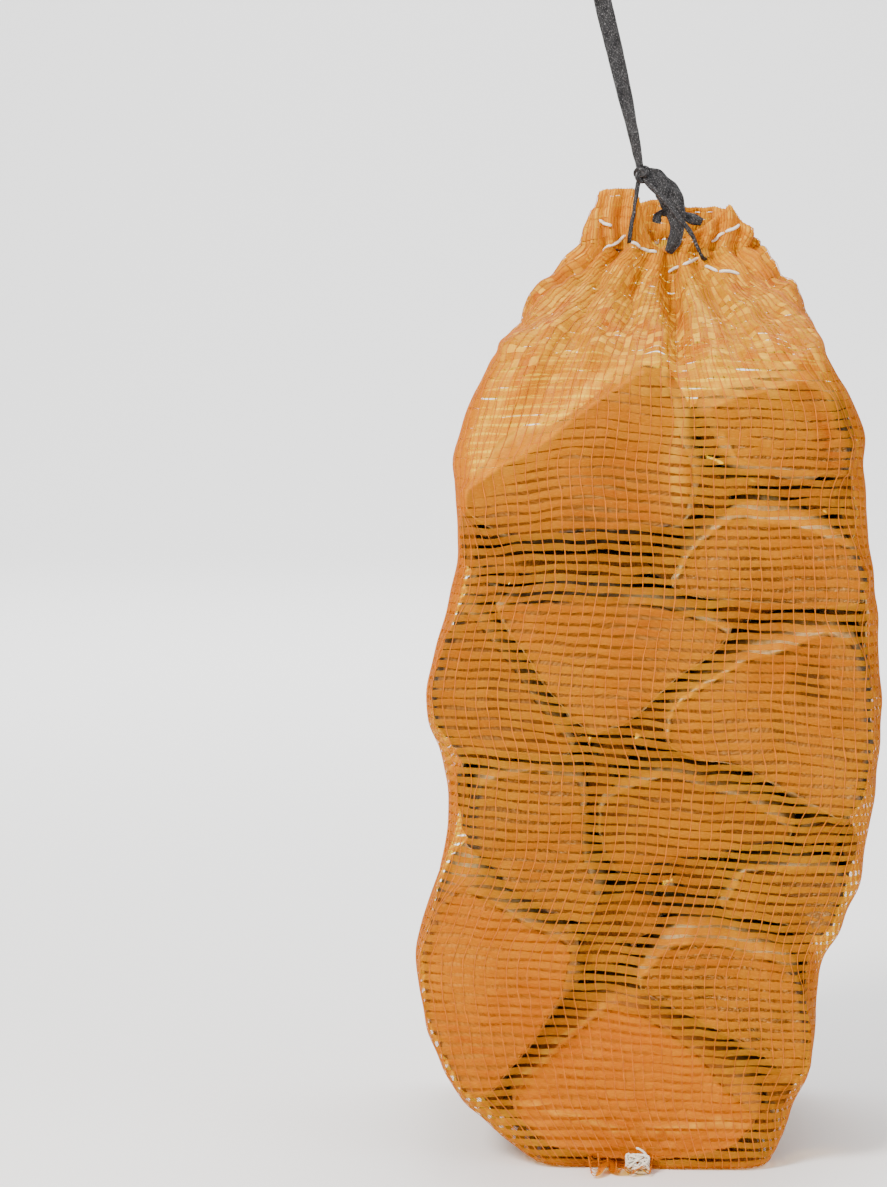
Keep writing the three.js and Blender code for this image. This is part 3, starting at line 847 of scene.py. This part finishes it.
# Fold height at each point of the sheet: a wave round the neck that dies away below it, ridges and
# valleys along the listed lines, and a fan of small folds round the seam at the foot.
def netFolds(points, v, neckV):
    u = np.arange(points.shape[1]) / points.shape[1] * 2 * np.pi
    phase = netPleats["count"] * u + 1.3 * np.sin(3 * u + 0.6) + 0.9 * np.sin(5 * u + 2.0)
    below = np.clip(neckV - v, 0, None)
    above = np.clip(v - neckV, 0, None)
    strength = netPleats["neckDepth"] * np.exp(-(below / netPleats["reach"]) ** 1.5) * np.exp(-above / 0.030)
    fold = strength[:, None] * np.cos(phase)[None, :]
    fold *= 1 - 0.6 * smoothStep(below, 0.008, 0.03)[:, None] * (1 - np.abs(np.sin(u)) ** 0.5)[None, :]
    long = netPleats["neckDepth"] * 0.4 * np.exp(-(below / 0.12) ** 2) * (above < 0.001)
    fold += long[:, None] * np.cos(0.5 * phase + 0.8)[None, :]
    x, z = points[..., 0] / mm, points[..., 2] / mm
    left, right = x.min(1, keepdims=True), x.max(1, keepdims=True)
    inward = np.minimum(x - left, right - x) / (right - left)
    front = smoothStep(-points[..., 1], 0.002, 0.014) * smoothStep(inward, 0.03, 0.13)
    for x0, z0, x1, z1, width, height in netPleats["folds"]:
        length = math.hypot(x1 - x0, z1 - z0)
        alongX, alongZ = (x1 - x0) / length, (z1 - z0) / length
        run = ((x - x0) * alongX + (z - z0) * alongZ) / length
        off = (x - x0) * alongZ - (z - z0) * alongX
        wide = width * (0.6 + 0.8 * np.clip(run, 0, 1))
        fade = smoothStep(run, -0.12, 0.06) * (1 - smoothStep(run, 0.35, 1.0))
        fold += height * mm * np.exp(-(off / wide) ** 2) * fade * front
    fromSeam = np.hypot(x + 4, z - 2)
    fan = np.cos(11 * np.arctan2(z - 2, x + 4) + 0.5 * np.sin(fromSeam / 9))
    fold += netPleats["footFolds"] * fan * np.exp(-fromSeam / 26) * smoothStep(fromSeam, 4, 14) * front
    fold -= netPleats["veeDepth"] * bump(x, 8, 8) * smoothStep(above, 0, 0.012)[:, None] * front
    fold += 0.0007 * ripple(x * mm, z * mm, 0.03, 5) * smoothStep(z, 5, 30)
    slackWaves = 0.0008 * ripple(x * mm, z * mm, 0.014, 6) + 0.0011 * ripple(x * mm, z * mm, 0.022, 7)
    fold += smoothStep(z, 405, 440) * slackWaves
    return fold


# Rows of points from the gathered seam under the sack, out over the floor, up the sides, in to the neck,
# up to the rim, and down again inside as the hem. The sides are a taut skin: each point moves to the
# mean of its neighbours, kept near the profile and clear of the logs.
def netSurface():
    table = np.array(netShape["profile"], float) * mm
    count = netShape["around"]
    front = np.concatenate([[0], np.cumsum(np.hypot(np.diff(table[:, 0]), np.diff(table[:, 3])))])
    rows = int(front[-1] / netShape["rowStep"]) + 1
    walk = np.linspace(0, front[-1], rows)
    z, left, right, depth, corner = (np.interp(walk, front, table[:, k]) for k in range(5))
    soft = np.array([0.1, 0.2, 0.4, 0.2, 0.1])
    left, right, corner = (np.convolve(np.r_[v[:1], v[:1], v, v[-1:], v[-1:]], soft, "valid")
                           for v in (left, right, corner))
    centre = (left + right) / 2
    body = 1 - smoothStep(z, 0.418, 0.440)
    foot = 1 - smoothStep(z, 0.004, 0.030)
    drawn = depth - netShape["slack"] * body * (1 - foot)
    section = np.stack([roundedSection((b - a) / 2, d, c, count)
                        for a, b, d, c in zip(left, right, drawn, corner)])
    section[..., 1] *= np.where(section[..., 1] > 0, netShape["backDepth"], 1)
    goal = np.linalg.norm(section, axis=-1)
    way = section / goal[..., None]
    need = clearOfLogs(centre, z, way)
    need = np.where(need > 0, need + netShape["clearance"], 0)
    need = np.minimum(need, goal + 0.035)
    # held to the profile at its sides and neck; free to lie over the logs elsewhere
    sideways = way[..., 0] ** 6
    keep = netShape["hold"] * (0.12 + 0.88 * (z < 0.33))[:, None] + 0.12 * sideways
    keep = np.maximum(keep, smoothStep(z, 0.474, 0.488)[:, None] * 0.9)
    keep = np.maximum(keep, 0.2 * foot[:, None])
    reach = np.maximum(goal, need)
    for _ in range(netShape["rounds"] // (1)):
        x, y = centre[:, None] + reach * way[..., 0], reach * way[..., 1]
        meanX = (np.roll(x, 1, 1) + np.roll(x, -1, 1)) / 2
        meanY = (np.roll(y, 1, 1) + np.roll(y, -1, 1)) / 2
        upX, upY = x.copy(), y.copy()
        upX[1:-1], upY[1:-1] = (x[2:] + x[:-2]) / 2, (y[2:] + y[:-2]) / 2
        pull = ((meanX + upX) / 2 - centre[:, None]) * way[..., 0] + (meanY + upY) / 2 * way[..., 1]
        reach = np.maximum((1 - keep) * pull + keep * goal, need)
    wall = np.stack([centre[:, None] + reach * way[..., 0], reach * way[..., 1],
                     np.broadcast_to(z[:, None], reach.shape)], axis=-1)
    # the neck line dips in the V at the front
    dip = 0.009 * bump(wall[..., 0], 0.009, 0.012) * smoothStep(wall[..., 2], 0.452, 0.487)
    wall[..., 2] -= dip * (wall[..., 1] < 0)

    # the ruffle above the drawstring, and the hem folded down inside it
    a, b, d, c = (v * mm for v in netShape["rimRing"])
    ring = roundedSection((b - a) / 2, d, c, count) + [(a + b) / 2, 0]
    rimFront = np.interp(ring[:, 0] / mm, *netShape["frontRim"]) * mm
    rimBack = np.interp(ring[:, 0] / mm, *netShape["backRim"]) * mm + 0.0012 * np.sin(ring[:, 0] / 0.005)
    side = smoothStep(ring[:, 1], -0.009, 0.009)
    rim = np.concatenate([ring, (rimFront * (1 - side) + rimBack * side)[:, None]], axis=1)
    steps = int(netShape["hemDepth"] / netShape["rowStep"])
    share = np.arange(1, steps + 1) / steps
    outwards = np.concatenate([way[-1], way[-1, :, :1] * 0], 1)
    flare = 0.0035 * np.sin(share * np.pi * 0.75)[:, None, None] * outwards
    ruffle = wall[-1] + (rim - wall[-1]) * share[:, None, None] + flare
    # folds run out from the drawn neck; none may cut into a log
    middle = np.stack([centre, centre * 0], axis=-1)
    sheet = np.concatenate([wall, ruffle])
    v = np.r_[walk, walk[-1] + share * netShape["hemDepth"]]
    sheet += surfaceNormals(sheet) * netFolds(sheet, v, walk[-1])[..., None]
    out = ((sheet[:rows, :, :2] - middle[:, None]) * way).sum(-1)
    sheet[:rows, :, :2] += way * np.maximum(need - out, 0)[..., None]

    sheet[..., 2] = np.maximum(sheet[..., 2], 0.0010)

    # the floor of the sack runs in to the seam, and the hem hangs inside the ruffle
    level = np.linspace(0.03, 1, 40, endpoint=False)[:, None, None]
    floor = np.append(netShape["seam"], 0.0012) * (1 - level) + sheet[0] * level
    floor = floor + [0, 0, 0.0009] * (1 - level)
    inside = sheet[rows:] - surfaceNormals(sheet)[rows:] * 0.0013
    sheet = np.concatenate([floor, sheet, inside[::-1]])
    beyond = v[-1] + np.arange(1, steps + 1) * netShape["rowStep"]
    v = np.r_[np.linspace(-0.12, 0, 40, endpoint=False), v, beyond]
    return sheet, v, walk[-1]


sheet, sheetWalk, neckWalk = netSurface()
sheetNormal = surfaceNormals(sheet)
print("stage 4: net drawn over the logs")


netWeave = {
    "tapePitch": 0.0053,      # level tapes, one above the next
    "tapeWidth": 0.0036,
    "tapeSteps": 344,         # points round each tape
    "threads": 154,           # upright threads round the sack
    "threadSteps": 250,
    "threadWidth": 0.00050,
    "bunched": 0.42,          # tapes lie closer in the neck
    "bow": 0.0062,            # how far the tapes arch over the left log
}


# Points and normals of the sheet between its grid points, u round the sack from 0 to 1 and v up it in
# metres.
def onSheet(u, v):
    column = (u % 1.0) * sheet.shape[1]
    row = np.clip(np.interp(v, sheetWalk, np.arange(len(sheetWalk))), 0, len(sheetWalk) - 1.001)
    c0, r0 = column.astype(int) % sheet.shape[1], row.astype(int)
    fc, fr = (column - np.floor(column))[..., None], (row - r0)[..., None]
    c1 = (c0 + 1) % sheet.shape[1]
    mixed = [g[r0, c0] * (1 - fr) * (1 - fc) + g[r0, c1] * (1 - fr) * fc + g[r0 + 1, c0] * fr * (1 - fc)
             + g[r0 + 1, c1] * fr * fc for g in (sheet, sheetNormal)]
    return mixed[0], unit(mixed[1])


# How far the tapes run above or below level: two arches high up, and a slow fall to the right lower down.
def tapeBow(place):
    x, z = place[..., 0], place[..., 2]
    front = smoothStep(-place[..., 1], 0.02, 0.09)
    high = bump(z, 0.372, 0.075)
    arch = netWeave["bow"] * (bump(x, -0.030, 0.042) + 0.35 * bump(x, 0.050, 0.03)) * high
    fall = -0.045 * x * (1 - smoothStep(z, 0.22, 0.36)) * smoothStep(z, 0.02, 0.08)
    sag = 0.0010 * ripple(x, z, 0.11, 21) + 0.0003 * ripple(x, z, 0.03, 22)
    return front * (arch + fall) + sag * smoothStep(z, 0.01, 0.05)


# Painted light on the net's creases at the front: along each listed line a soft band of painted highlight,
# pale (above 0), or of painted shade, red (below 0).
creaseLightAndShade = [
    # top and bottom ends (x, z) in mm, half width in mm, strength
    (-40, 472, -80, 405, 4.0, -0.75), (-30, 480, -62, 428, 2.5, 0.5), (-52, 462, -96, 388, 3.0, 0.45),
    (10, 486, 19, 414, 4.5, -0.85), (17, 416, 14, 350, 4.0, 0.6), (24, 480, 36, 425, 3.0, 0.5),
    (70, 462, 108, 360, 7.0, -0.55), (-4, 434, -99, 374, 2.4, 0.75), (84, 431, 30, 414, 2.4, 0.7),
    (-74, 38, -3, 22, 2.0, 0.75), (-3, 22, 58, 28, 2.0, 0.7), (-20, 95, -72, 44, 1.6, 0.45),
    (-112, 86, -60, 30, 5.0, -0.4)]


# The sum of the bands: each is its strength times a bell across its line, faded at its two ends.
def creaseLightShare(points):
    x, z = points[:, 0] / mm, points[:, 2] / mm
    share = np.zeros(len(points))
    for x0, z0, x1, z1, width, strength in creaseLightAndShade:
        length = math.hypot(x1 - x0, z1 - z0)
        run = ((x - x0) * (x1 - x0) + (z - z0) * (z1 - z0)) / length ** 2
        off = ((x - x0) * (z1 - z0) - (z - z0) * (x1 - x0)) / length
        off = off + 2.5 * ripple(x * mm, z * mm, 0.05, 51)
        band = strength * np.exp(-(off / width) ** 2)
        share += band * smoothStep(run, -0.05, 0.15) * (1 - smoothStep(run, 0.8, 1.05))
    return share * (points[:, 1] < 0) * (0.8 + 0.4 * ripple(x * mm, z * mm, 0.009, 52))


# Level tapes: each is a line round the sheet at its own v, three points wide, the middle a little proud
# of the edges.
def makeTapes(material):
    count = int((sheetWalk[-1] - sheetWalk[0]) / netWeave["tapePitch"])
    steps = netWeave["tapeSteps"]
    rim = neckWalk + netShape["hemDepth"]
    first = (rim - 0.25 * netWeave["tapePitch"] - sheetWalk[0]) % netWeave["tapePitch"]
    v0 = sheetWalk[0] + first + np.arange(count) * netWeave["tapePitch"]
    u, v = np.meshgrid(np.arange(steps) / steps, v0)
    number = np.broadcast_to(np.arange(count)[:, None], u.shape)
    place, _ = onSheet(u, v)
    v = v + tapeBow(place) * smoothStep(neckWalk - v, -0.01, 0.05)
    v = v + 0.00028 * ripple(u * 9 + number * 1.7, number * 5.3, 0.35, 31)
    half = netWeave["tapeWidth"] / 2 * (1 + 0.13 * ripple(u * 7, number * 3.1, 0.4, 32))
    # the tapes lie closer where the net hangs slack, near the neck and beside the ridge of the top left log
    ridge = 0.338 + 0.744 * (place[..., 0] + 0.099)
    beside = smoothStep(place[..., 2] - ridge, 0.0, 0.02) * smoothStep(0.02 - place[..., 0], 0, 0.02) \
        * smoothStep(0.06 - place[..., 1], 0, 0.10)
    half *= 1 + netWeave["bunched"] * np.maximum(smoothStep(v, neckWalk - 0.19, neckWalk - 0.09), beside)
    rows = []
    for side, lift in ((-1, 0.0), (0, 0.00028), (1, 0.0)):
        at, normal = onSheet(u, v + side * half)
        rows.append(at + normal * (lift + 0.00012 * ripple(u * 11, number * 2.3 + side, 0.3, 33))[..., None])
    points = np.stack(rows, axis=1)      # tape, edge, step
    quads = gridQuads(3, steps, True)
    faces = (quads[None] + (np.arange(count) * 3 * steps)[:, None, None]).reshape(-1, 4)
    across = np.broadcast_to((u * netWeave["threads"])[:, None, :], points.shape[:3])
    up = number[:, None, :] + np.array([0.0, 0.5, 1.0])[None, :, None]
    uv = np.stack([across, np.broadcast_to(up, points.shape[:3])], axis=-1).reshape(-1, 2)
    area = (half * 2).mean() * np.linalg.norm(np.diff(points[:, 1], axis=1), axis=-1).sum()
    points = points.reshape(-1, 3)
    # the crease attribute holds the painted highlight and painted shade of the creases
    return makeMesh("net_tapes", points, [faces], material, uv, values={"crease": creaseLightShare(points)}), area


# Upright threads: each follows the sheet at its own u, a low roof in section, just outside the tapes.
def makeThreads(material):
    count, steps = netWeave["threads"], netWeave["threadSteps"]
    levels = np.linspace(sheetWalk[0] + 0.002, sheetWalk[-1] - 0.002, steps)
    v, u = np.meshgrid(levels, np.arange(count) / count)
    number = np.arange(count)[:, None]
    u = u + 0.00035 * ripple(v, number * 0.7, 0.02, 41)
    at, normal = onSheet(u, v)
    tangent = unit(np.gradient(at, axis=1))
    sideways = unit(np.cross(tangent, normal))
    half = netWeave["threadWidth"] / 2 * (1 + 0.25 * ripple(v, number * 1.1, 0.012, 42))[..., None]
    half *= 1 - 0.42 * smoothStep(v, neckWalk - 0.08, neckWalk)[..., None]
    rows = [at - sideways * half + normal * 0.00030,
            at + normal * 0.00062,
            at + sideways * half + normal * 0.00030]
    points = np.stack(rows, axis=1)      # thread, edge, step
    faces = (gridQuads(3, steps)[None] + (np.arange(count) * 3 * steps)[:, None, None]).reshape(-1, 4)
    return makeMesh("net_threads", points.reshape(-1, 3), [faces], material,
                    np.stack([np.broadcast_to(number[:, None] + 0.5, points.shape[:3]),
                              np.broadcast_to((v / netWeave["tapePitch"])[:, None, :], points.shape[:3])],
                             axis=-1).reshape(-1, 2))


netLook = {
    "film": (0.60, 0.228, 0.0, 1.0),
    "filmDeep": (0.50, 0.135, 0.0, 1.0),
    "filmShadeRed": (0.42, 0.060, 0.0, 1.0),
    "filmHighlight": (1.0, 0.60, 0.05, 1.0),
    "filmYellow": (0.50, 0.230, 0.0, 1.0),
    "filmHemLight": (0.78, 0.33, 0.0, 1.0),
    "seenThrough": (1.0, 0.64, 0.03, 1.0),   # tint of what lies behind the tape
    "thread": (0.36, 0.095, 0.008, 1.0),
    "seeThrough": 0.46,       # share of light that goes straight through the tape
}


# Film that has painted light at the hem, brighter and yellower, painted shade, red, in patches of the slack
# neck and on the red creases, and painted highlight, pale, on the pale creases, where a cell glints and in
# fine streaks; part of the light goes straight through it.
def netMaterial():
    material, board = newMaterial("orangeTape")
    weave = board.weave()
    parts = board.axes(weave)
    across, up = parts["X"], parts["Y"]
    cell = board.add("CombineXYZ")
    board.put(board.maths("FLOOR", across), cell.inputs[0])
    board.put(board.maths("FLOOR", up), cell.inputs[1])
    chance = board.add("TexWhiteNoise", noise_dimensions="3D")
    board.put(cell.outputs[0], chance.inputs["Vector"])
    place = board.place()
    broad = board.noise(place, 16, 3.0)
    fine = board.noise(board.stretch(weave, (2.2, 14, 1)), 1.0, 3.0, 0.6)
    color = board.blend(board.ramp(broad, 0.35, 0.7), netLook["film"], netLook["filmDeep"])
    level = board.axes(place)["Z"]
    slack = board.ramp(level, 0.40, 0.45)
    shadow = board.ramp(board.noise(board.stretch(place, (1, 1, 0.45)), 62, 3.0, 0.55, 4.0), 0.50, 0.62)
    color = board.blend(board.times(slack, 0.8), color, netLook["filmYellow"])
    # painted shade: red patches in the folds of the slack neck
    color = board.blend(board.times(shadow, board.times(slack, 0.75)), color, netLook["filmShadeRed"])
    # painted light: the hem is coloured brighter and yellower
    hem = board.ramp(level, 0.474, 0.490)
    color = board.blend(board.times(hem, 0.8), color, netLook["filmHemLight"])
    # painted highlight on the pale creases and painted shade on the red ones
    crease = board.attribute("crease")
    color = board.blend(crease, color, netLook["filmHighlight"])
    color = board.blend(board.times(crease, -1.0), color, netLook["filmShadeRed"])
    # painted glints: single cells turn pale, most of all in the slack neck
    glint = board.times(board.maths("POWER", chance.outputs["Value"], 3.5),
                        board.timesPlus(slack, 0.80, 0.10))
    color = board.blend(glint, color, netLook["filmHighlight"])
    # painted sheen: fine pale streaks along the tapes
    color = board.blend(board.times(board.ramp(fine, 0.5, 0.8), 0.5), color, netLook["filmHighlight"])
    # each stretch of tape between two threads swells a little
    swell = board.maths("SINE", board.times(board.maths("FRACT", across), math.pi))
    height = board.timesPlus(chance.outputs["Value"], board.timesPlus(slack, 0.9, 0.15), swell)
    height = board.timesPlus(fine, 0.5, height)
    normal = board.bump(height, 0.6, 0.0006)
    rough = board.timesPlus(chance.outputs["Value"], 0.25, 0.30)
    film = principled(board, color, rough, normal, **{"Specular IOR Level": 0.12})
    glow = board.add("BsdfTranslucent")
    board.put(color, glow.inputs["Color"])
    through = board.add("BsdfTransparent")
    through.inputs["Color"].default_value = netLook["seenThrough"]
    body = board.add("MixShader")
    body.inputs[0].default_value = 0.3
    board.put(film, body.inputs[1])
    board.put(glow.outputs[0], body.inputs[2])
    mixed = board.add("MixShader")
    clear = board.timesPlus(fine, -0.25, netLook["seeThrough"] + 0.12)
    board.put(board.timesPlus(slack, -0.16, clear), mixed.inputs[0])
    board.put(body.outputs[0], mixed.inputs[1])
    board.put(through.outputs[0], mixed.inputs[2])
    output(board, mixed.outputs[0])
    return material


# Upright threads: one darker colour, mottled.
def threadMaterial():
    material, board = newMaterial("orangeThread")
    place = board.place()
    shade = board.noise(place, 240, 3.0)
    color = board.blend(board.ramp(shade, 0.35, 0.7), netLook["thread"], netLook["filmDeep"])
    output(board, principled(board, color, board.timesPlus(shade, 0.3, 0.45),
                             board.bump(shade, 0.4, 0.0004), **{"Specular IOR Level": 0.2}))
    return material


tapes, tapeArea = makeTapes(netMaterial())
threads = makeThreads(threadMaterial())
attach(tapes, "root")
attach(threads, "root")
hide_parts("net_sack")
print("stage 5: net woven, tape area", round(tapeArea, 4))


# White thread: plies that wind round it, drawn as slanting ridges across its own map.
def whiteThreadMaterial():
    material, board = newMaterial("whiteThread")
    weave = board.weave()
    parts = board.axes(weave)
    slant = board.timesPlus(parts["X"], 1.4, parts["Y"])
    ply = board.timesPlus(board.maths("SINE", board.times(slant, 5.0)), 0.5, 0.5)
    fuzz = board.noise(board.stretch(weave, (2, 1, 1)), 1.5, 3.0)
    color = board.blend(ply, (0.62, 0.52, 0.38, 1.0), (0.95, 0.92, 0.84, 1.0))
    output(board, principled(board, color, board.timesPlus(fuzz, 0.3, 0.55),
                             board.bump(board.maths("ADD", ply, fuzz), 0.6, 0.0004)))
    return material


hemStitches = {
    "thickness": 0.0018,
    "rise": 0.0016,           # how high a stitch arches
    "sink": 0.0008,           # how deep its ends go
    # stitches seen at the front, as x and z of both ends, in mm
    "front": [(-28, 510, -20, 506.5), (-26, 492, -12, 502), (-10, 498, -5, 494.5), (-5, 494.5, 5, 492),
              (11, 481, 18, 484.5), (18, 484.5, 28, 489), (31, 484.5, 38, 481.5), (38, 481.5, 50, 480),
              (34, 498, 42, 503), (42, 503, 50, 507.5)],
    "back": 16,               # pairs of stitches round the sides and back
}


# One piece of round strands: each is a line, its radius at every point and how far along each point lies.
def makeStrands(name, strands, material):
    points, faces, maps, first, around = [], [], [], 0, 10
    angle = np.arange(around) / around * 2 * np.pi
    for route, radius, walked in strands:
        count = len(route)
        side, out = routeFrame(route, (0, -1, 0.1), np.zeros(count))
        ring = side[:, None] * np.cos(angle)[None, :, None] + out[:, None] * np.sin(angle)[None, :, None]
        points.append((route[:, None] + ring * radius[:, None, None]).reshape(-1, 3))
        caps = np.arange(around) + first
        faces.append(gridQuads(count, around, True, first))
        faces.append(np.concatenate([caps[None, ::-1], caps[None] + (count - 1) * around]))
        maps.append(np.stack(np.broadcast_arrays(angle[None, :], walked[:, None]), axis=-1).reshape(-1, 2))
        first += count * around
    return pointedOut(makeMesh(name, np.concatenate(points), faces, material, np.concatenate(maps)))


# Stitches: each runs from one point of the hem to another, sunk at its ends and proud of the net between
# them.
def makeStitches(material):
    rows = (sheetWalk > neckWalk - 0.06) & (sheetWalk <= neckWalk + netShape["hemDepth"] + 1e-6)
    outer, outNormal = sheet[rows].reshape(-1, 3), sheetNormal[rows].reshape(-1, 3)
    facing = outer[:, 1] < 0.002
    pairs = []
    for x0, z0, x1, z1 in hemStitches["front"]:
        line = np.stack([np.linspace(x0, x1, 12), np.linspace(z0, z1, 12)], axis=-1) * mm
        gap = ((outer[None, facing][:, :, [0, 2]] - line[:, None]) ** 2).sum(-1)
        near = np.argsort(gap, axis=1)[:, :6]
        at = outer[facing][near].mean(1)
        pairs.append((np.stack([line[:, 0], at[:, 1], line[:, 1]], axis=-1), outNormal[facing][near].mean(1)))
    count = hemStitches["back"]
    edges = np.linspace(-0.27, 0.27, count * 2 + 1)
    for k, (a, b) in enumerate(zip(edges[:-1], edges[1:])):
        high, low = neckWalk + 0.012, neckWalk + 0.002
        start, stop = (high, low) if k % 2 else (low, high)
        pairs.append(onSheet(np.linspace(a, b, 12), np.linspace(start, stop, 12)))
    strands = []
    share = np.linspace(0, 1, 12)
    radius = hemStitches["thickness"] / 2 * np.sqrt(np.clip(1.02 - np.linspace(-1, 1, 12) ** 6, 0.02, 1))
    for at, normal in pairs:
        lift = np.sin(share * np.pi)[:, None] ** 0.5 * hemStitches["rise"] - hemStitches["sink"]
        route = at + unit(normal) * (lift + 0.0003)
        route[1:-1] = (route[:-2] + 2 * route[1:-1] + route[2:]) / 4
        walked = np.linspace(0, np.linalg.norm(np.diff(route, axis=0), axis=1).sum() * 1000, 12)
        strands.append((route, radius, walked))
    stitches = makeStrands("hem_stitches", strands, material)
    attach(stitches, "root")
    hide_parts("hem_stitching")
    return stitches


whiteThread = whiteThreadMaterial()
stitches = makeStitches(whiteThread)

footSeam = {
    "corner": (-0.031, -0.109),   # back left corner of the loose flap of net
    "size": (0.036, 0.019),       # its width and how far it reaches forward
    "tapes": 7,
    "threads": 8,
    "tuft": (-0.004, -0.1175, 0.004),
    "curls": 13,
    "curlRadius": 0.00062,
}


# The loose flap of net below the bottom seam: a small sheet that comes down from the seam and lies on
# the floor in waves, drawn to a point at the left, with a notch beside it.
def flapPlace(across, forward):
    width, reach = footSeam["size"]
    x = footSeam["corner"][0] + width * across + 0.004 * forward * (0.5 - across)
    notch = 0.011 * bump(across, 0.30, 0.10) - 0.003 * bump(across, 0.05, 0.14)
    y = footSeam["corner"][1] - (reach - notch - 0.004 * across) * forward
    z = 0.0014 + 0.0085 * (1 - forward) ** 1.6 * (0.6 + 0.4 * np.sin(across * 9)) \
        + 0.0016 * (1 + np.sin(across * 21 + forward * 3)) * forward
    return np.stack([x, y, z], axis=-1)


# The flap's tapes run across it and its threads run forward, each three points wide.
def makeFlap(tapeMat, threadMat):
    pieces = []
    kinds = [("bottom_flap_tapes", tapeMat, footSeam["tapes"], 0.0015, 0.0),
             ("bottom_flap_threads", threadMat, footSeam["threads"], 0.0004, 0.0004)]
    for name, material, count, half, lift in kinds:
        steps = 60
        place = np.linspace(0.02, 0.98, count)[:, None] + 0 * np.linspace(0, 1, steps)[None, :]
        run = np.linspace(0, 1, steps)[None, :] + 0 * place
        at = flapPlace(run, place) if material is tapeMat else flapPlace(place, run)
        tangent = unit(np.gradient(at, axis=1))
        side = unit(np.cross(tangent, np.array([0.0, 0.2, 1.0])))
        up = np.cross(side, tangent)
        rows = [at - side * half + up * lift, at + up * (lift + 0.0003), at + side * half + up * lift]
        points = np.stack(rows, axis=1)
        faces = (gridQuads(3, steps)[None] + (np.arange(count) * 3 * steps)[:, None, None]).reshape(-1, 4)
        number = np.arange(count)[:, None, None]
        up = number + np.array([0, 0.5, 1])[None, :, None]
        uv = np.stack(np.broadcast_arrays(run[:, None, :] * 15, up), axis=-1)
        flap = makeMesh(name, points.reshape(-1, 3), [faces], material, uv.reshape(-1, 2))
        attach(flap, "root")
        pieces.append(flap)
    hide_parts("bottom_seam_frill")
    return pieces


# A tuft of cut thread: short curls that wander round the middle of the seam, and one that stands up.
def makeTuft(material):
    draw = np.random.default_rng(7)
    place = np.array(footSeam["tuft"])
    t = np.linspace(0, 1, 70)[:, None]
    strands = []
    for k in range(footSeam["curls"]):
        turn, phase = draw.uniform(0.6, 1.5, 3) * 2 * np.pi, draw.uniform(0, 2 * np.pi, 3)
        route = place + np.sin(turn * t + phase) * [0.0060, 0.0022, 0.0034] + [0, 0, 0.001 * (k % 4)]
        if k < 2:
            rise = [(0.0024 - 0.0014 * k) * np.sin(t * 5.2 - 0.3) + 0.003 * k,
                    -0.001 + 0.001 * t,
                    (0.0100 - 0.0035 * k) * np.sin(t * 1.7)]
            route = place + np.concatenate(rise, axis=1) + [0.002, 0, 0]
        route[:, 2] = np.maximum(route[:, 2], 0.0012)
        fuzz = 1 + 0.18 * ripple(t[:, 0], t[:, 0] * 0, 0.08, k)
        radius = footSeam["curlRadius"] * np.sqrt(np.clip(1.02 - (2 * t[:, 0] - 1) ** 8, 0.02, 1)) * fuzz
        strands.append((route, radius, t[:, 0] * 30))
    tuft = makeStrands("bottom_thread_tuft", strands, material)
    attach(tuft, "root")
    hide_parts("bottom_seam_thread")


flap = makeFlap(tapes.data.materials[0], threads.data.materials[0])
makeTuft(whiteThread)
print("stage 6: hem, foot seam and threads sewn")
